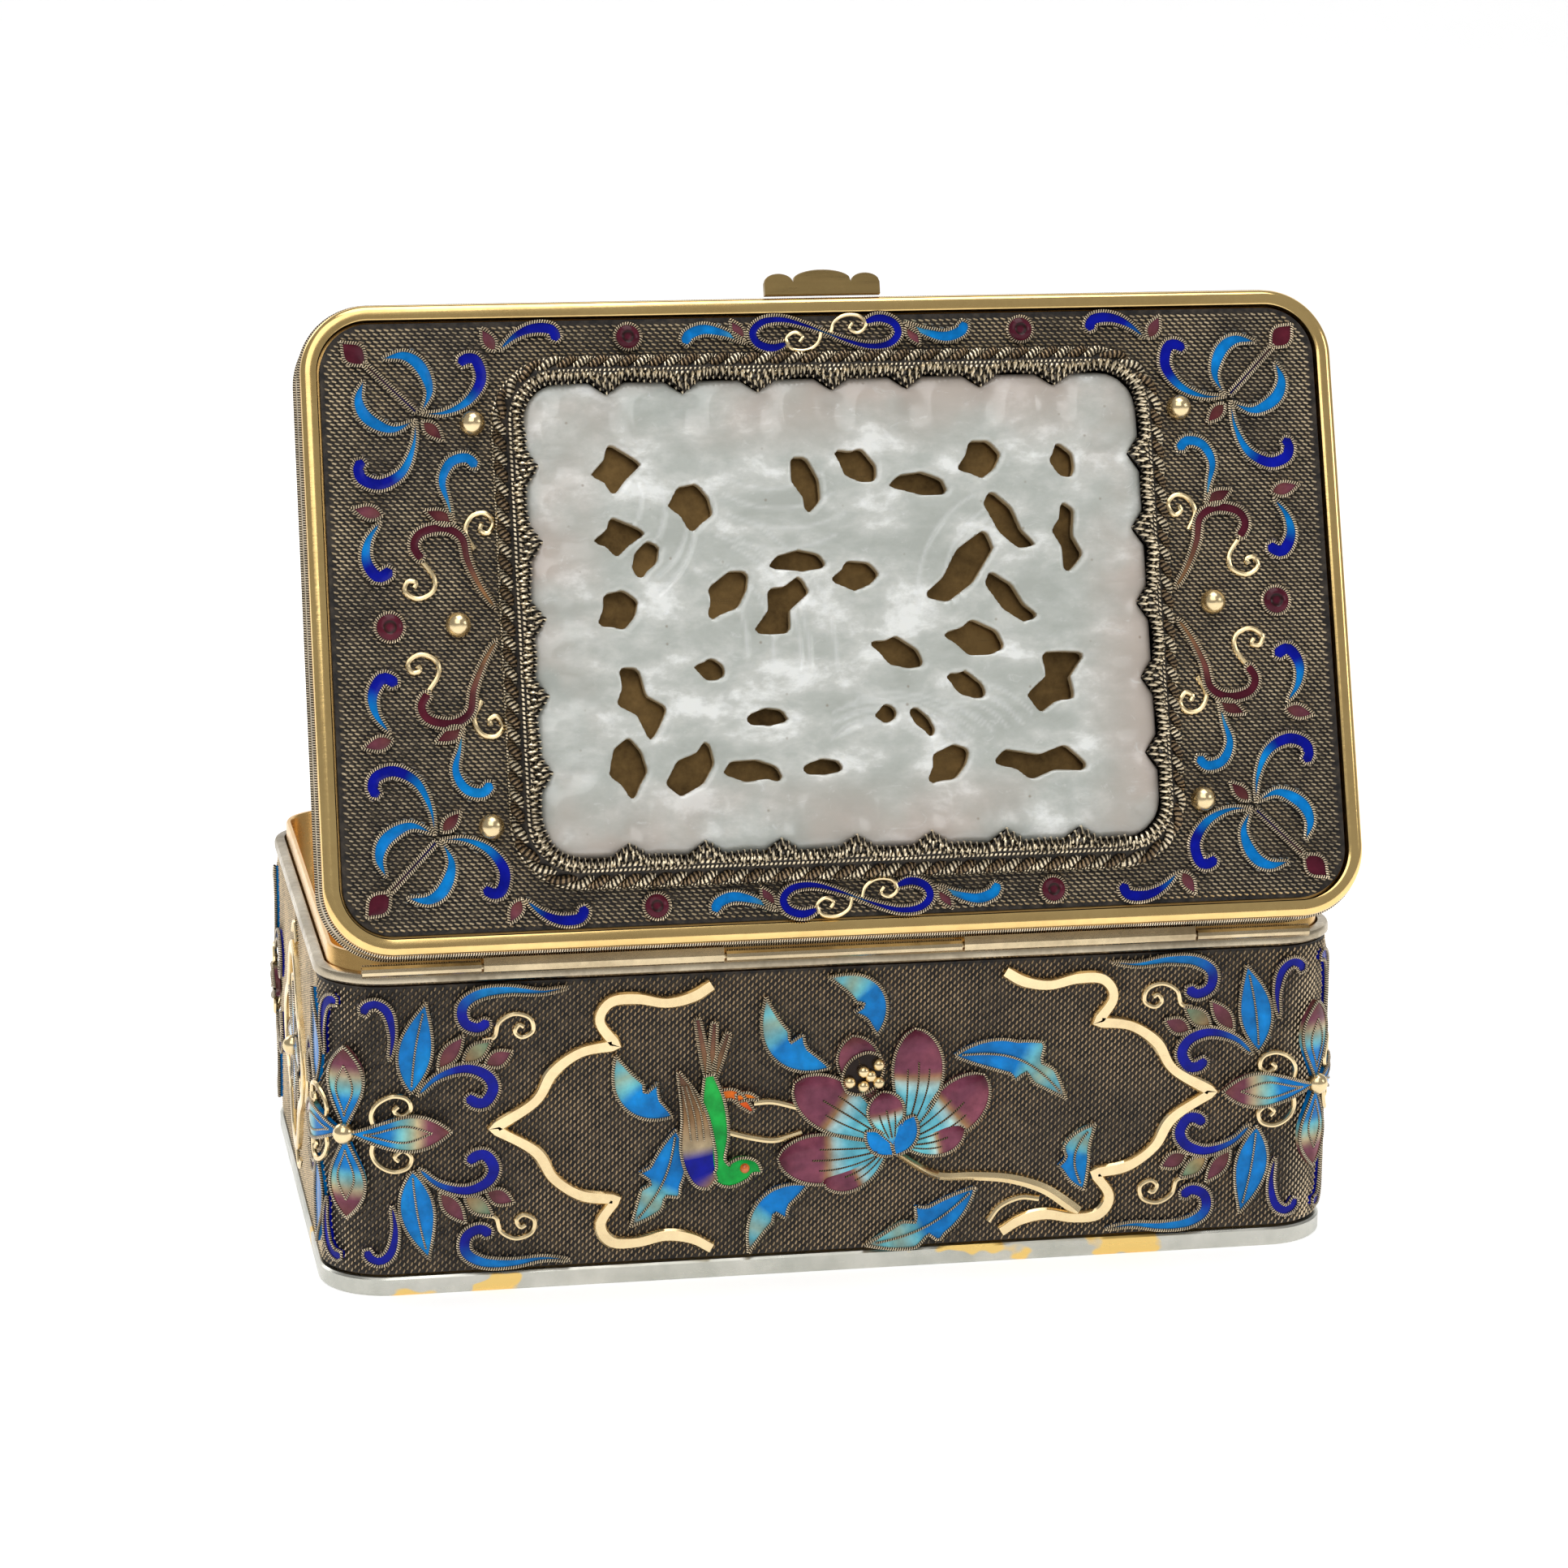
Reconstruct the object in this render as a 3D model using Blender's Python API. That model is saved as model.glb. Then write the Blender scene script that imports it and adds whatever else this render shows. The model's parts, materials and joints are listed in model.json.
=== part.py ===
# Silver-gilt filigree box with enamel ornament and a hinged lid that carries a pierced jade plaque.
# Metres, +Z up, +X along the box. The hinge is on the -Y side and the lid stands open.
# The origin is on the underside, at the middle of the box.

import bpy
import bmesh
from math import atan2, cos, hypot, pi, radians, sin
from mathutils import Vector

mm = 0.001

# Box body
box_length = 127.0 * mm          # outside the rim and the base band
box_depth = 77.6 * mm
land_height = 40.4 * mm          # flat land of the rim, which the lid rests on
corner_radius = 8.5 * mm
rim_height = 1.4 * mm
band_height = 2.3 * mm
wall_recess = 0.5 * mm           # the woven wall lies this far behind rim and band
woven_thickness = 0.8 * mm
liner_thickness = 0.7 * mm
floor_thickness = 1.0 * mm
collar_height = 2.2 * mm         # the liner stands this far above the land
seam = 0.3 * mm                  # play between neighbouring pieces

# Hinge
hinge_margin = 5.0 * mm          # from the box's ends to the hinge
end_knuckle_length = 14.5 * mm
inner_knuckles = 3
knuckle_radius = 0.8 * mm
bore_radius = 0.5 * mm
pin_radius = 0.34 * mm
lid_open_angle = 71.4            # degrees from closed, as the lid stands in use

# Lid
lid_inset = 0.2 * mm             # the lid's outline lies this far inside the rim's
lid_height = 9.1 * mm
lid_wall_thickness = 0.9 * mm
lid_plate_thickness = 1.0 * mm
border_width = 2.0 * mm
border_height = 1.5 * mm
field_recess = 0.4 * mm          # woven field below the top of the border
thumbpiece_length = 14.2 * mm
thumbpiece_reach = 3.1 * mm
thumbpiece_thickness = 1.1 * mm

# Jade plaque and its bezel
jade_length = 75.2 * mm
jade_depth = 56.8 * mm
jade_thickness = 2.4 * mm
jade_radius = 5.0 * mm
bezel_width = 3.2 * mm
bezel_rise = 0.7 * mm            # claws above the jade
claw_pitch = 9.1 * mm
claw_length = 1.3 * mm
claw_width = 2.4 * mm
hole_pitch = 10.2 * mm

# Ornament
ornament_height = 0.9 * mm       # enamel above its ground
flower_lift = 0.5 * mm           # corner flowers stand off the rounded corner
soldered_depth = 0.3 * mm        # ornament fused to its ground starts this far inside it
cartouche_width = 1.4 * mm
cartouche_height = 0.8 * mm
ball_radius = 1.4 * mm
seed_radius = 0.75 * mm
stroke = 1.0 * mm                # one unit of a strip's or leaf's drawn width

# The ornament is drawn on sheets of so many units, which stretch with the real surfaces
drawn_side = 55.0                # half the straight run of a long side
drawn_end = 30.3                 # half the straight run of an end
drawn_panel = 36.7               # woven wall between band and rim
drawn_end_field = 20.0           # lid's woven field from border to bezel, at the ends
drawn_long_field = 4.4           # the same along the sides
drawn_half_depth = 36.3          # lid's woven field from its middle to the border, front to back
drawn_half_length = 61.0
drawn_jade_length = 75.2         # plaque
drawn_jade_depth = 56.8
drawn_pitch = 9.4               # from gap to gap of the plaque

corner_steps = 5
round_steps = 12

# Sizes that follow
rim_width = wall_recess + woven_thickness
liner_inset = rim_width + seam
wall_bottom = band_height + seam
wall_top = land_height - rim_height - seam
wall_middle = (wall_bottom + wall_top) / 2
wall_radius = corner_radius - wall_recess
side_run = box_length / 2 - corner_radius
end_run = box_depth / 2 - corner_radius
corner_run = wall_radius * pi / 2
hinge_length = box_length - 2 * hinge_margin
half_round = 2 * (side_run + end_run + corner_run)
hinge_y = -(box_depth / 2 + seam + knuckle_radius)
hinge_z = land_height + knuckle_radius
lid_length = box_length - 2 * lid_inset
lid_depth = box_depth - 2 * lid_inset
lid_radius = corner_radius - lid_inset
lid_bottom = land_height + seam
lid_top = lid_bottom + lid_height
shell_top = lid_top - border_height - seam
field_top = lid_top - field_recess
field_inset = border_width + seam
bezel_inner_length = jade_length + 2 * seam
bezel_inner_depth = jade_depth + 2 * seam
bezel_height = jade_thickness + 2 * seam + bezel_rise
field_half_length = lid_length / 2 - field_inset
field_half_depth = lid_depth / 2 - field_inset
end_field = field_half_length - bezel_inner_length / 2 - bezel_width
long_field = field_half_depth - bezel_inner_depth / 2 - bezel_width
disc_radius = long_field * 0.39
side_unit = side_run / drawn_side
end_unit = end_run / drawn_end
rise_unit = (wall_top - wall_bottom) / drawn_panel
end_field_unit = end_field / drawn_end_field
long_field_unit = long_field / drawn_long_field
depth_unit = field_half_depth / drawn_half_depth
length_unit = field_half_length / drawn_half_length


def clear_scene():
    for item in list(bpy.data.objects):
        bpy.data.objects.remove(item)


def finish(name, colour, roughness, metallic):
    """A Principled material of one colour."""
    material = bpy.data.materials.new(name)
    material.use_nodes = True
    shader = material.node_tree.nodes["Principled BSDF"]
    shader.inputs["Base Color"].default_value = (*colour, 1.0)
    shader.inputs["Roughness"].default_value = roughness
    shader.inputs["Metallic"].default_value = metallic
    return material


def gilt(name):
    return finish(name, (0.86, 0.62, 0.26), 0.25, 1.0)


def silver(name):
    return finish(name, (0.70, 0.68, 0.62), 0.35, 1.0)


def oxidised(name):
    return finish(name, (0.16, 0.13, 0.09), 0.55, 0.8)


def enamel(name, colour):
    return finish(name, colour, 0.2, 0.0)


sky = (0.02, 0.38, 0.75)
navy = (0.01, 0.02, 0.45)
maroon = (0.25, 0.02, 0.09)
violet = (0.42, 0.20, 0.26)
green = (0.02, 0.50, 0.12)


def add_object(name, mesh, material, parent=None):
    """Puts a mesh in the scene under its piece's name."""
    item = bpy.data.objects.new(name, mesh)
    item.data.materials.clear()
    item.data.materials.append(material)
    item.parent = parent
    bpy.context.scene.collection.objects.link(item)
    return item


def closed_mesh(name, shape):
    """Turns a finished bmesh into a mesh whose faces point outwards."""
    bmesh.ops.recalc_face_normals(shape, faces=shape.faces)
    mesh = bpy.data.meshes.new(name)
    shape.to_mesh(mesh)
    shape.free()
    mesh.shade_smooth()
    mesh.set_sharp_from_angle(angle=radians(35))
    return mesh


def combined(name, mesh, others, material, parent, operation):
    """Joins meshes to, or cuts them from, the first one."""
    item = add_object(name, mesh, material)
    tools = bpy.data.collections.new(name + "_tools")
    bpy.context.scene.collection.children.link(tools)
    for other in others:
        tools.objects.link(bpy.data.objects.new(other.name, other))
    modifier = item.modifiers.new("solder", "BOOLEAN")
    modifier.operation = operation
    modifier.solver = "EXACT"
    modifier.operand_type = "COLLECTION"
    modifier.collection = tools
    result = bpy.data.meshes.new_from_object(item.evaluated_get(bpy.context.evaluated_depsgraph_get()))
    item.modifiers.clear()
    item.data = result
    item.data.materials.clear()
    item.data.materials.append(material)
    for tool in list(tools.objects):
        bpy.data.objects.remove(tool)
    bpy.data.collections.remove(tools)
    item.parent = parent
    return item


def fused(name, meshes, material, parent=None):
    return combined(name, meshes[0], meshes[1:], material, parent, "UNION")


# Rounded rectangles

def rounded_outline(length, depth, radius, steps=corner_steps):
    """Points (x, y) and outward directions of a rounded rectangle, counter-clockwise."""
    points = []
    for index, (side_x, side_y) in enumerate(((1, -1), (1, 1), (-1, 1), (-1, -1))):
        centre = Vector((side_x * (length / 2 - radius), side_y * (depth / 2 - radius)))
        for step in range(steps + 1):
            angle = pi / 2 * (index - 1 + step / steps)
            outward = Vector((cos(angle), sin(angle)))
            points.append((centre + outward * radius, outward))
    return points


def ring(name, length, depth, radius, profile, origin=(0.0, 0.0, 0.0)):
    """A closed ring: profile points (inset, z) carried round a rounded rectangle."""
    shape = bmesh.new()
    shift = Vector(origin)
    rows = []
    for point, outward in rounded_outline(length, depth, radius):
        row = []
        for inset, z in profile:
            place = point - outward * inset
            row.append(shape.verts.new(Vector((place.x, place.y, z)) - shift))
        rows.append(row)
    join_rows(shape, rows + rows[:1])
    return closed_mesh(name, shape)


def join_rows(shape, rows):
    """Faces between rows of equally many points, each row being a closed loop."""
    for row, following in zip(rows, rows[1:]):
        for index in range(len(row)):
            after = (index + 1) % len(row)
            shape.faces.new((row[index], row[after], following[after], following[index]))


def shell(name, loops, origin=(0.0, 0.0, 0.0)):
    """A solid through rounded rectangles (length, depth, radius, z), flat at the first and the last."""
    shape = bmesh.new()
    shift = Vector(origin)
    rows = []
    for length, depth, radius, z in loops:
        outline = rounded_outline(length, depth, radius)
        rows.append([shape.verts.new(Vector((point.x, point.y, z)) - shift) for point, outward in outline])
    join_rows(shape, rows)
    shape.faces.new(rows[0])
    shape.faces.new(rows[-1])
    return closed_mesh(name, shape)


def inset_loop(length, depth, radius, inset, z):
    return (length - 2 * inset, depth - 2 * inset, radius - inset, z)


# Strips of enamel and wire

flat_section = ((-1, 0), (-1, 1), (1, 1), (1, 0))
ridge_section = ((-1, 0), (0, 1), (1, 0))


def curve_through(points, steps):
    """A smooth line through the points, with so many steps between neighbours."""
    ends = [points[0]] + list(points) + [points[-1]]
    line = []
    for before, start, end, after in zip(ends, ends[1:], ends[2:], ends[3:]):
        for step in range(steps):
            t = step / steps
            line.append(tuple(
                0.5 * (2 * b + (c - a) * t + (2 * a - 5 * b + 4 * c - d) * t ** 2
                       + (3 * b - a - 3 * c + d) * t ** 3)
                for a, b, c, d in zip(before, start, end, after)))
    line.append(tuple(points[-1]))
    return line


def strip(path, place, base, crest, section=ridge_section):
    """A closed strip along path, whose points are (u, v, width); a width of 0 is a pointed end."""
    shape = bmesh.new()
    rows = []
    for index, (u, v, width) in enumerate(path):
        before = path[max(index - 1, 0)]
        after = path[min(index + 1, len(path) - 1)]
        run = hypot(after[0] - before[0], after[1] - before[1])
        across = ((before[1] - after[1]) / run, (after[0] - before[0]) / run)
        if width == 0:
            rows.append([shape.verts.new(place(u, v, (base + crest) / 2))])
            continue
        rows.append([shape.verts.new(place(u + across[0] * side * width / 2, v + across[1] * side * width / 2,
                                           base + (crest - base) * rise)) for side, rise in section])
    for row, following in zip(rows, rows[1:]):
        if len(row) == len(following):
            join_rows(shape, [row, following])
        else:
            fan(shape, row, following)
    for end in (rows[0], rows[-1]):
        if len(end) > 1:
            shape.faces.new(end)
    return closed_mesh("strip", shape)


def fan(shape, row, following):
    """Triangles from a pointed end to its neighbouring row."""
    tip, loop = (row[0], following) if len(row) == 1 else (following[0], row)
    for index in range(len(loop)):
        shape.faces.new((tip, loop[index], loop[(index + 1) % len(loop)]))


def leaf_path(base, tip, width, bend=0.0, base_width=0.0, steps=4):
    """A leaf from base to tip, widest before its middle, bent sideways by a share of its length."""
    du, dv = tip[0] - base[0], tip[1] - base[1]
    path = []
    for step in range(steps + 1):
        t = step / steps
        sway = bend * sin(pi * t)
        swell = sin(pi * t ** 0.8) * width + (1 - t) * base_width
        path.append((base[0] + du * t - dv * sway, base[1] + dv * t + du * sway, 0 if t == 1 else swell))
    if base_width == 0:
        path[0] = (*base, 0)
    return path


def scroll_path(points, narrow, wide, steps=1):
    """A scroll that widens from its thin tail to its round head."""
    line = curve_through(points, steps)
    last = len(line) - 1
    path = []
    for index, (u, v) in enumerate(line):
        t = index / last
        path.append((u, v, narrow + (wide - narrow) * sin(pi * min(t, 0.85) / 1.7)))
    return path


def scaled(points, along, rise):
    """Drawn units to real lengths."""
    return [(point[0] * along, point[1] * rise) for point in points]


def dome(place, u, v, radius, base, height):
    """A round cap: a ball or a domed disc half sunk in its ground."""
    shape = bmesh.new()
    rows = []
    for share, rise in ((1.0, 0.0), (0.85, 0.6)):
        row = []
        for step in range(8):
            angle = 2 * pi * step / 8
            row.append(shape.verts.new(place(u + radius * share * cos(angle), v + radius * share * sin(angle),
                                             base + (height - base) * rise)))
        rows.append(row)
    join_rows(shape, rows)
    shape.faces.new(rows[0])
    fan(shape, [shape.verts.new(place(u, v, height))], rows[-1])
    return closed_mesh("dome", shape)


# Places on the woven wall and on the lid

def wall_point(s, z, lift):
    """A place on the woven wall, s from the middle of the rear side towards +X and on round the box."""
    runs = ((side_run, 0), (corner_run, 1), (2 * end_run, 0), (corner_run, 1), (2 * side_run, 0),
            (corner_run, 1), (2 * end_run, 0), (corner_run, 1), (side_run, 0))
    s %= 2 * half_round
    heading = 0.0
    spot = Vector((0.0, -box_depth / 2 + wall_recess))
    for run, turns in runs:
        part = min(s, run)
        outward = Vector((sin(heading), -cos(heading)))
        if turns:
            heading += part / wall_radius
            centre = spot - outward * wall_radius
            outward = Vector((sin(heading), -cos(heading)))
            spot = centre + outward * wall_radius
        else:
            spot = spot + Vector((cos(heading), sin(heading))) * part
        s -= part
        if s <= 0:
            break
    return Vector((spot.x + outward.x * lift, spot.y + outward.y * lift, z))


def wall_place(centre, direction, middle=wall_middle):
    """A drawing sheet on the wall: u from centre in the given direction, v up from the wall's mid-height."""
    def place(u, v, lift):
        return wall_point(centre + direction * u, middle + v, lift)
    return place


def lid_place(corner_x, corner_y, direction_x, direction_y):
    """A drawing sheet on the closed lid's woven field, in the hinge's own frame."""
    def place(u, v, lift):
        return Vector((corner_x + direction_x * u, corner_y + direction_y * v - hinge_y,
                       field_top + lift - hinge_z))
    return place


# Box body

def make_liner():
    """Gilt tray: floor, inner walls and the collar above the land, in one sheet."""
    outer = (box_length, box_depth, corner_radius)
    inner = liner_inset + liner_thickness
    collar_top = land_height + collar_height
    loops = [inset_loop(*outer, liner_inset, 0.0),
             inset_loop(*outer, liner_inset, collar_top),
             inset_loop(*outer, inner, collar_top),
             inset_loop(*outer, inner, floor_thickness)]
    add_object("gilt_liner", shell("gilt_liner", loops), finish("gilt_liner", (0.90, 0.48, 0.10), 0.18, 1.0))


def make_band():
    profile = ((0, 0), (0, band_height), (rim_width, band_height), (rim_width, 0))
    mesh = ring("base_band", box_length, box_depth, corner_radius, profile)
    add_object("base_band", mesh, silver("base_band"))


def make_rim():
    low = land_height - rim_height
    profile = ((0, low), (0, land_height), (rim_width, land_height), (rim_width, low))
    mesh = ring("top_rim", box_length, box_depth, corner_radius, profile)
    add_object("top_rim", mesh, oxidised("top_rim"))


def corner_centres():
    """The four corners: where each flower sits along the wall, and the way towards its long side."""
    flower_shift = corner_run / 12
    reach = side_run + corner_run / 2 - flower_shift
    return (("rear_left", -reach, 1), ("rear_right", reach, -1),
            ("front_right", half_round - reach, 1), ("front_left", half_round + reach, -1))


def corner_spray(place, rich):
    """A large leaf above and below beside a corner flower; a rich spray has scrolls and buds as well."""
    sunk = -soldered_depth
    pieces = []

    def leaf(base, tip, width, steps=3):
        ends = scaled((base, tip), side_unit, rise_unit)
        pieces.append(strip(leaf_path(*ends, width * stroke, 0.0, 0.0, steps), place, sunk, ornament_height))

    def scroll(points, narrow, wide):
        line = scaled(points, side_unit, rise_unit)
        pieces.append(strip(scroll_path(line, narrow * stroke, wide * stroke), place, sunk, ornament_height))

    for side in (1, -1):
        leaf((7.3, side * 5.4), (8.9, side * 16.2), 4.4, 4)
        if not rich:
            continue
        scroll([(8.6, side * 4.8), (11.0, side * 7.2), (14.0, side * 7.8), (16.8, side * 6.4),
                (16.6, side * 4.0)], 0.7, 1.7)
        leaf((10.8, side * 8.2), (13.6, side * 11.6), 1.9)
        leaf((13.6, side * 8.9), (16.8, side * 11.2), 1.9)
        leaf((16.4, side * 8.4), (19.4, side * 9.7), 1.8)
        scroll([(25.8, side * 17.2), (20.4, side * 16.7), (15.0, side * 16.8), (13.3, side * 14.6),
                (14.8, side * 12.8)], 0.5, 1.6)
    return pieces


def barbed_leaf(place, base, tip, width, bend, barbs):
    """A leaf with side lobes: each barb leaves the midrib at a share of its length."""
    ends = scaled((base, tip), side_unit, rise_unit)
    path = leaf_path(*ends, width * stroke, bend)
    pieces = [strip(path, place, -soldered_depth, ornament_height)]
    for share, barb in barbs:
        root = path[round(share * (len(path) - 1))][:2]
        end = scaled([barb], side_unit, rise_unit)[0]
        lobe = leaf_path(root, end, width * 0.5 * stroke, 0.0, 0.0, 3)
        pieces.append(strip(lobe, place, -soldered_depth * 1.3, ornament_height * 0.9))
    return pieces


def panel_leaves(place, leaves):
    """Leaves round the lotus, drawn from the middle of the long side."""
    pieces = []
    for leaf in leaves:
        pieces += barbed_leaf(place, *leaf)
    return pieces


# A leaf is its base, its tip, its width, its bend and its side lobes
rear_leaves = (((-1.8, 6.8), (-9.6, 15.0), 3.8, -0.12, [(0.5, (-4.0, 10.4))]),
               ((3.9, 10.2), (-1.9, 16.6), 3.4, -0.16, [(0.5, (0.2, 10.6))]),
               ((14.4, 6.4), (28.0, 0.2), 4.2, 0.08, [(0.5, (25.0, 8.0))]),
               ((29.2, -11.8), (31.2, -3.0), 3.0, 0.20, []),
               ((16.6, -11.4), (3.2, -17.6), 4.0, -0.06, [(0.5, (6.4, -10.6)), (0.5, (10.0, -16.2))]),
               ((-5.2, -10.4), (-11.4, -17.6), 3.0, -0.12, [(0.5, (-5.8, -14.0))]))
front_leaves = (((14.4, 6.4), (28.0, 0.2), 4.2, 0.08, []),
                ((16.6, -11.4), (3.2, -17.6), 4.0, -0.06, []),
                ((-14.4, 6.4), (-28.0, 0.2), 4.2, -0.08, []),
                ((-7.6, -10.0), (-20.4, -11.8), 4.0, 0.06, []))


def perch_leaves(place):
    """The two leaves the bird rests on."""
    pieces = barbed_leaf(place, (-21.4, 1.0), (-27.6, 8.6), 3.4, 0.14, [(0.5, (-21.6, 5.0))])
    pieces += barbed_leaf(place, (-21.6, -1.4), (-26.2, -13.2), 4.4, -0.08, [(0.5, (-27.2, -5.4))])
    return pieces


def make_woven_wall():
    """The woven wall with the enamel leaves, buds and scrolls that are soldered to it."""
    profile = ((wall_recess, wall_bottom), (wall_recess, wall_top),
               (rim_width, wall_top), (rim_width, wall_bottom))
    pieces = [ring("woven_wall", box_length, box_depth, corner_radius, profile)]
    for name, centre, direction in corner_centres():
        pieces += corner_spray(wall_place(centre, direction), name.startswith("rear"))
        pieces += corner_spray(wall_place(centre, -direction), False)
    rear = wall_place(0.0, 1)
    pieces += panel_leaves(rear, rear_leaves) + perch_leaves(rear)
    pieces += panel_leaves(wall_place(half_round, 1), front_leaves)
    fused("woven_wall", pieces, oxidised("woven_wall"))


def make_corner_flowers():
    """Four pointed petals and a ball on each rounded corner."""
    for name, centre, direction in corner_centres():
        place = wall_place(centre, direction)
        top = flower_lift + ornament_height
        pieces = [dome(place, 0.0, 0.0, ball_radius, flower_lift * 0.8, top + ornament_height * 0.4)]
        for index, (tip_u, tip_v) in enumerate(((11.4, 0), (0, 10.6), (-11.0, 0), (0, -10.6))):
            tip = scaled([(tip_u, tip_v)], side_unit, rise_unit)[0]
            root = (-tip[0] * 0.03, -tip[1] * 0.03)
            drop = ornament_height * 0.03 * index
            pieces.append(strip(leaf_path(root, tip, 4.2 * stroke), place, flower_lift - drop, top - drop))
        fused(name + "_flower", pieces, enamel(name + "_flower", violet))


def cartouche_half(place, name):
    """An ogee of flat gilt strip with two cusps and a point, closed towards the box's corner."""
    drawn = ((18.2, 17.0), (20.6, 15.6), (23.8, 15.0), (27.4, 15.7), (30.6, 15.4), (31.8, 13.0), (29.9, 9.9))
    outer = ((29.9, 9.9), (34.2, 9.2), (37.6, 6.8), (39.8, 3.2), (44.6, 0.0))
    quarter = list(drawn) + list(outer[1:])
    half = quarter + [(u, -v) for u, v in reversed(quarter[:-1])]
    line = scaled(half, side_unit, rise_unit)
    path = [(u, v, cartouche_width) for u, v in line]
    mesh = strip(path, place, seam, seam + cartouche_height, flat_section)
    add_object(name, mesh, gilt(name))


def make_cartouches():
    for side, centre in (("rear", 0.0), ("front", half_round)):
        shift = 2.0 * side_unit
        cartouche_half(wall_place(centre + shift, 1), side + "_cartouche_right")
        cartouche_half(wall_place(centre + shift, -1), side + "_cartouche_left")


def make_lotus(side, centre, rich):
    """Lotus flower with its petals and stem, and with a seed head and sepals where it is a rich one."""
    place = wall_place(centre, 1)
    low = seam
    high = seam + ornament_height
    pieces = []

    def petal(base, tip, width, drop, bend=0.0):
        ends = scaled((base, tip), side_unit, rise_unit)
        path = leaf_path(*ends, width * stroke, bend, 0.4 * width * stroke)
        pieces.append(strip(path, place, low - drop * ornament_height, high - drop * ornament_height))

    petal((6.4, -4.2), (-6.0, 4.2), 5.6, 0.0)
    petal((6.4, -4.6), (-8.0, -5.6), 5.2, 0.02)
    petal((7.2, -4.0), (9.0, 10.2), 6.0, 0.04, -0.08)
    petal((6.8, -4.4), (18.0, 3.4), 5.4, 0.06, -0.08)
    petal((5.6, -3.6), (1.4, 9.6), 5.0, 0.08)
    calyx = scaled([(6.4, -4.0)], side_unit, rise_unit)[0]
    pieces.append(dome(place, *calyx, 2 * seed_radius, low * 0.6, high + ornament_height * 0.1))
    if rich:
        petal((5.8, -4.2), (4.8, 2.4), 4.6, -0.05)
        petal((6.2, -5.0), (-3.8, -9.6), 3.6, 0.10)
        petal((6.4, -5.6), (8.8, -1.0), 2.8, -0.2)
        for u, v in ((1.0, 4.2), (2.6, 5.3), (4.2, 6.0), (3.4, 3.2)):
            u, v = scaled([(u, v)], side_unit, rise_unit)[0]
            pieces.append(dome(place, u, v, seed_radius, low, high + ornament_height * 0.5))
    stem = scaled(((5.6, -4.8), (8.8, -7.3), (12.2, -9.2), (16.8, -9.5), (21.3, -10.1), (24.9, -11.2),
                   (27.0, -12.6)), side_unit, rise_unit)
    pieces.append(strip(scroll_path(stem, 0.9 * stroke, 1.6 * stroke), place, low * 1.05, high * 0.92))
    fused(side + "_lotus", pieces, enamel(side + "_lotus", violet))


def make_bird():
    """Bird on the rear panel, head down, with folded wing, three tail feathers and a leg."""
    place = wall_place(0.0, 1)
    low = seam
    high = seam + ornament_height

    def limb(points, drop):
        drawn = [(u * side_unit, v * rise_unit, width * stroke) for u, v, width in points]
        return strip(drawn, place, low - drop * ornament_height, high - drop * ornament_height)

    body = limb(((-16.6, 5.6, 1.2), (-16.1, 2.0, 2.6), (-15.6, -2.0, 2.6), (-15.8, -5.6, 2.6),
                 (-14.4, -7.4, 2.6), (-12.4, -6.7, 2.6), (-11.4, -6.7, 1.8), (-10.0, -7.4, 0)), -0.2)
    wing = limb(((-16.4, -8.2, 1.6), (-17.4, -6.6, 3.6), (-18.0, -3.6, 4.2), (-18.4, 0.6, 3.2),
                 (-19.2, 3.4, 2.0), (-20.2, 6.0, 0)), 0.0)
    feathers = [limb(((-16.4 + lean, 4.6, 0.7), (tip_u, tip_v, 1.0)), 0.02 * (index + 1))
                for index, (lean, tip_u, tip_v) in enumerate(((-0.4, -18.0, 12.8), (0.0, -15.9, 12.2),
                                                              (0.4, -14.2, 10.8)))]
    leg = limb(((-15.6, 2.8, 1.2), (-13.4, 2.6, 1.1), (-11.0, 1.7, 1.1)), 0.1)
    fused("rear_bird", [body, wing, leg] + feathers, enamel("rear_bird", green))


def make_medallions():
    """Four-lobed wire medallion with a blossom on each end."""
    lobes = 4
    steps = 20
    end_middle = side_run + corner_run + end_run
    for side, centre in (("right", end_middle), ("left", -end_middle)):
        place = wall_place(centre, 1)
        shape = bmesh.new()
        rows = []
        for step in range(steps):
            angle = 2 * pi * step / steps
            radius = 11.4 + 1.9 * cos(lobes * angle)
            row = []
            for shift, lift in ((-0.5, 0), (-0.5, 1), (0.5, 1), (0.5, 0)):
                across = radius * end_unit + shift * cartouche_width
                up = radius * rise_unit + shift * cartouche_width
                height = seam + cartouche_height * lift
                row.append(shape.verts.new(place(across * cos(angle), up * sin(angle), height)))
            rows.append(row)
        join_rows(shape, rows + rows[:1])
        name = side + "_medallion"
        add_object(name, closed_mesh(name, shape), gilt(name))


# Hinge

def knuckle(name, start, length, web, material, parent=None):
    """A hinge knuckle along X with its bore and a web towards the wall it is soldered to."""
    shape = bmesh.new()
    outer = []
    inner = []
    for step in range(round_steps):
        angle = 2 * pi * step / round_steps
        y, z = knuckle_radius * cos(angle), knuckle_radius * sin(angle)
        if step in web:
            y, z = web[step]
        outer.append((y, z))
        inner.append((bore_radius * cos(angle), bore_radius * sin(angle)))
    shift = Vector((0, 0, 0)) if parent else Vector((0, hinge_y, hinge_z))
    rows = []
    for x, loop in ((start, inner), (start, outer), (start + length, outer), (start + length, inner)):
        rows.append([shape.verts.new(Vector((x, y, z)) + shift) for y, z in loop])
    join_rows(shape, rows + rows[:1])
    add_object(name, closed_mesh(name, shape), material, parent)


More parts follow.
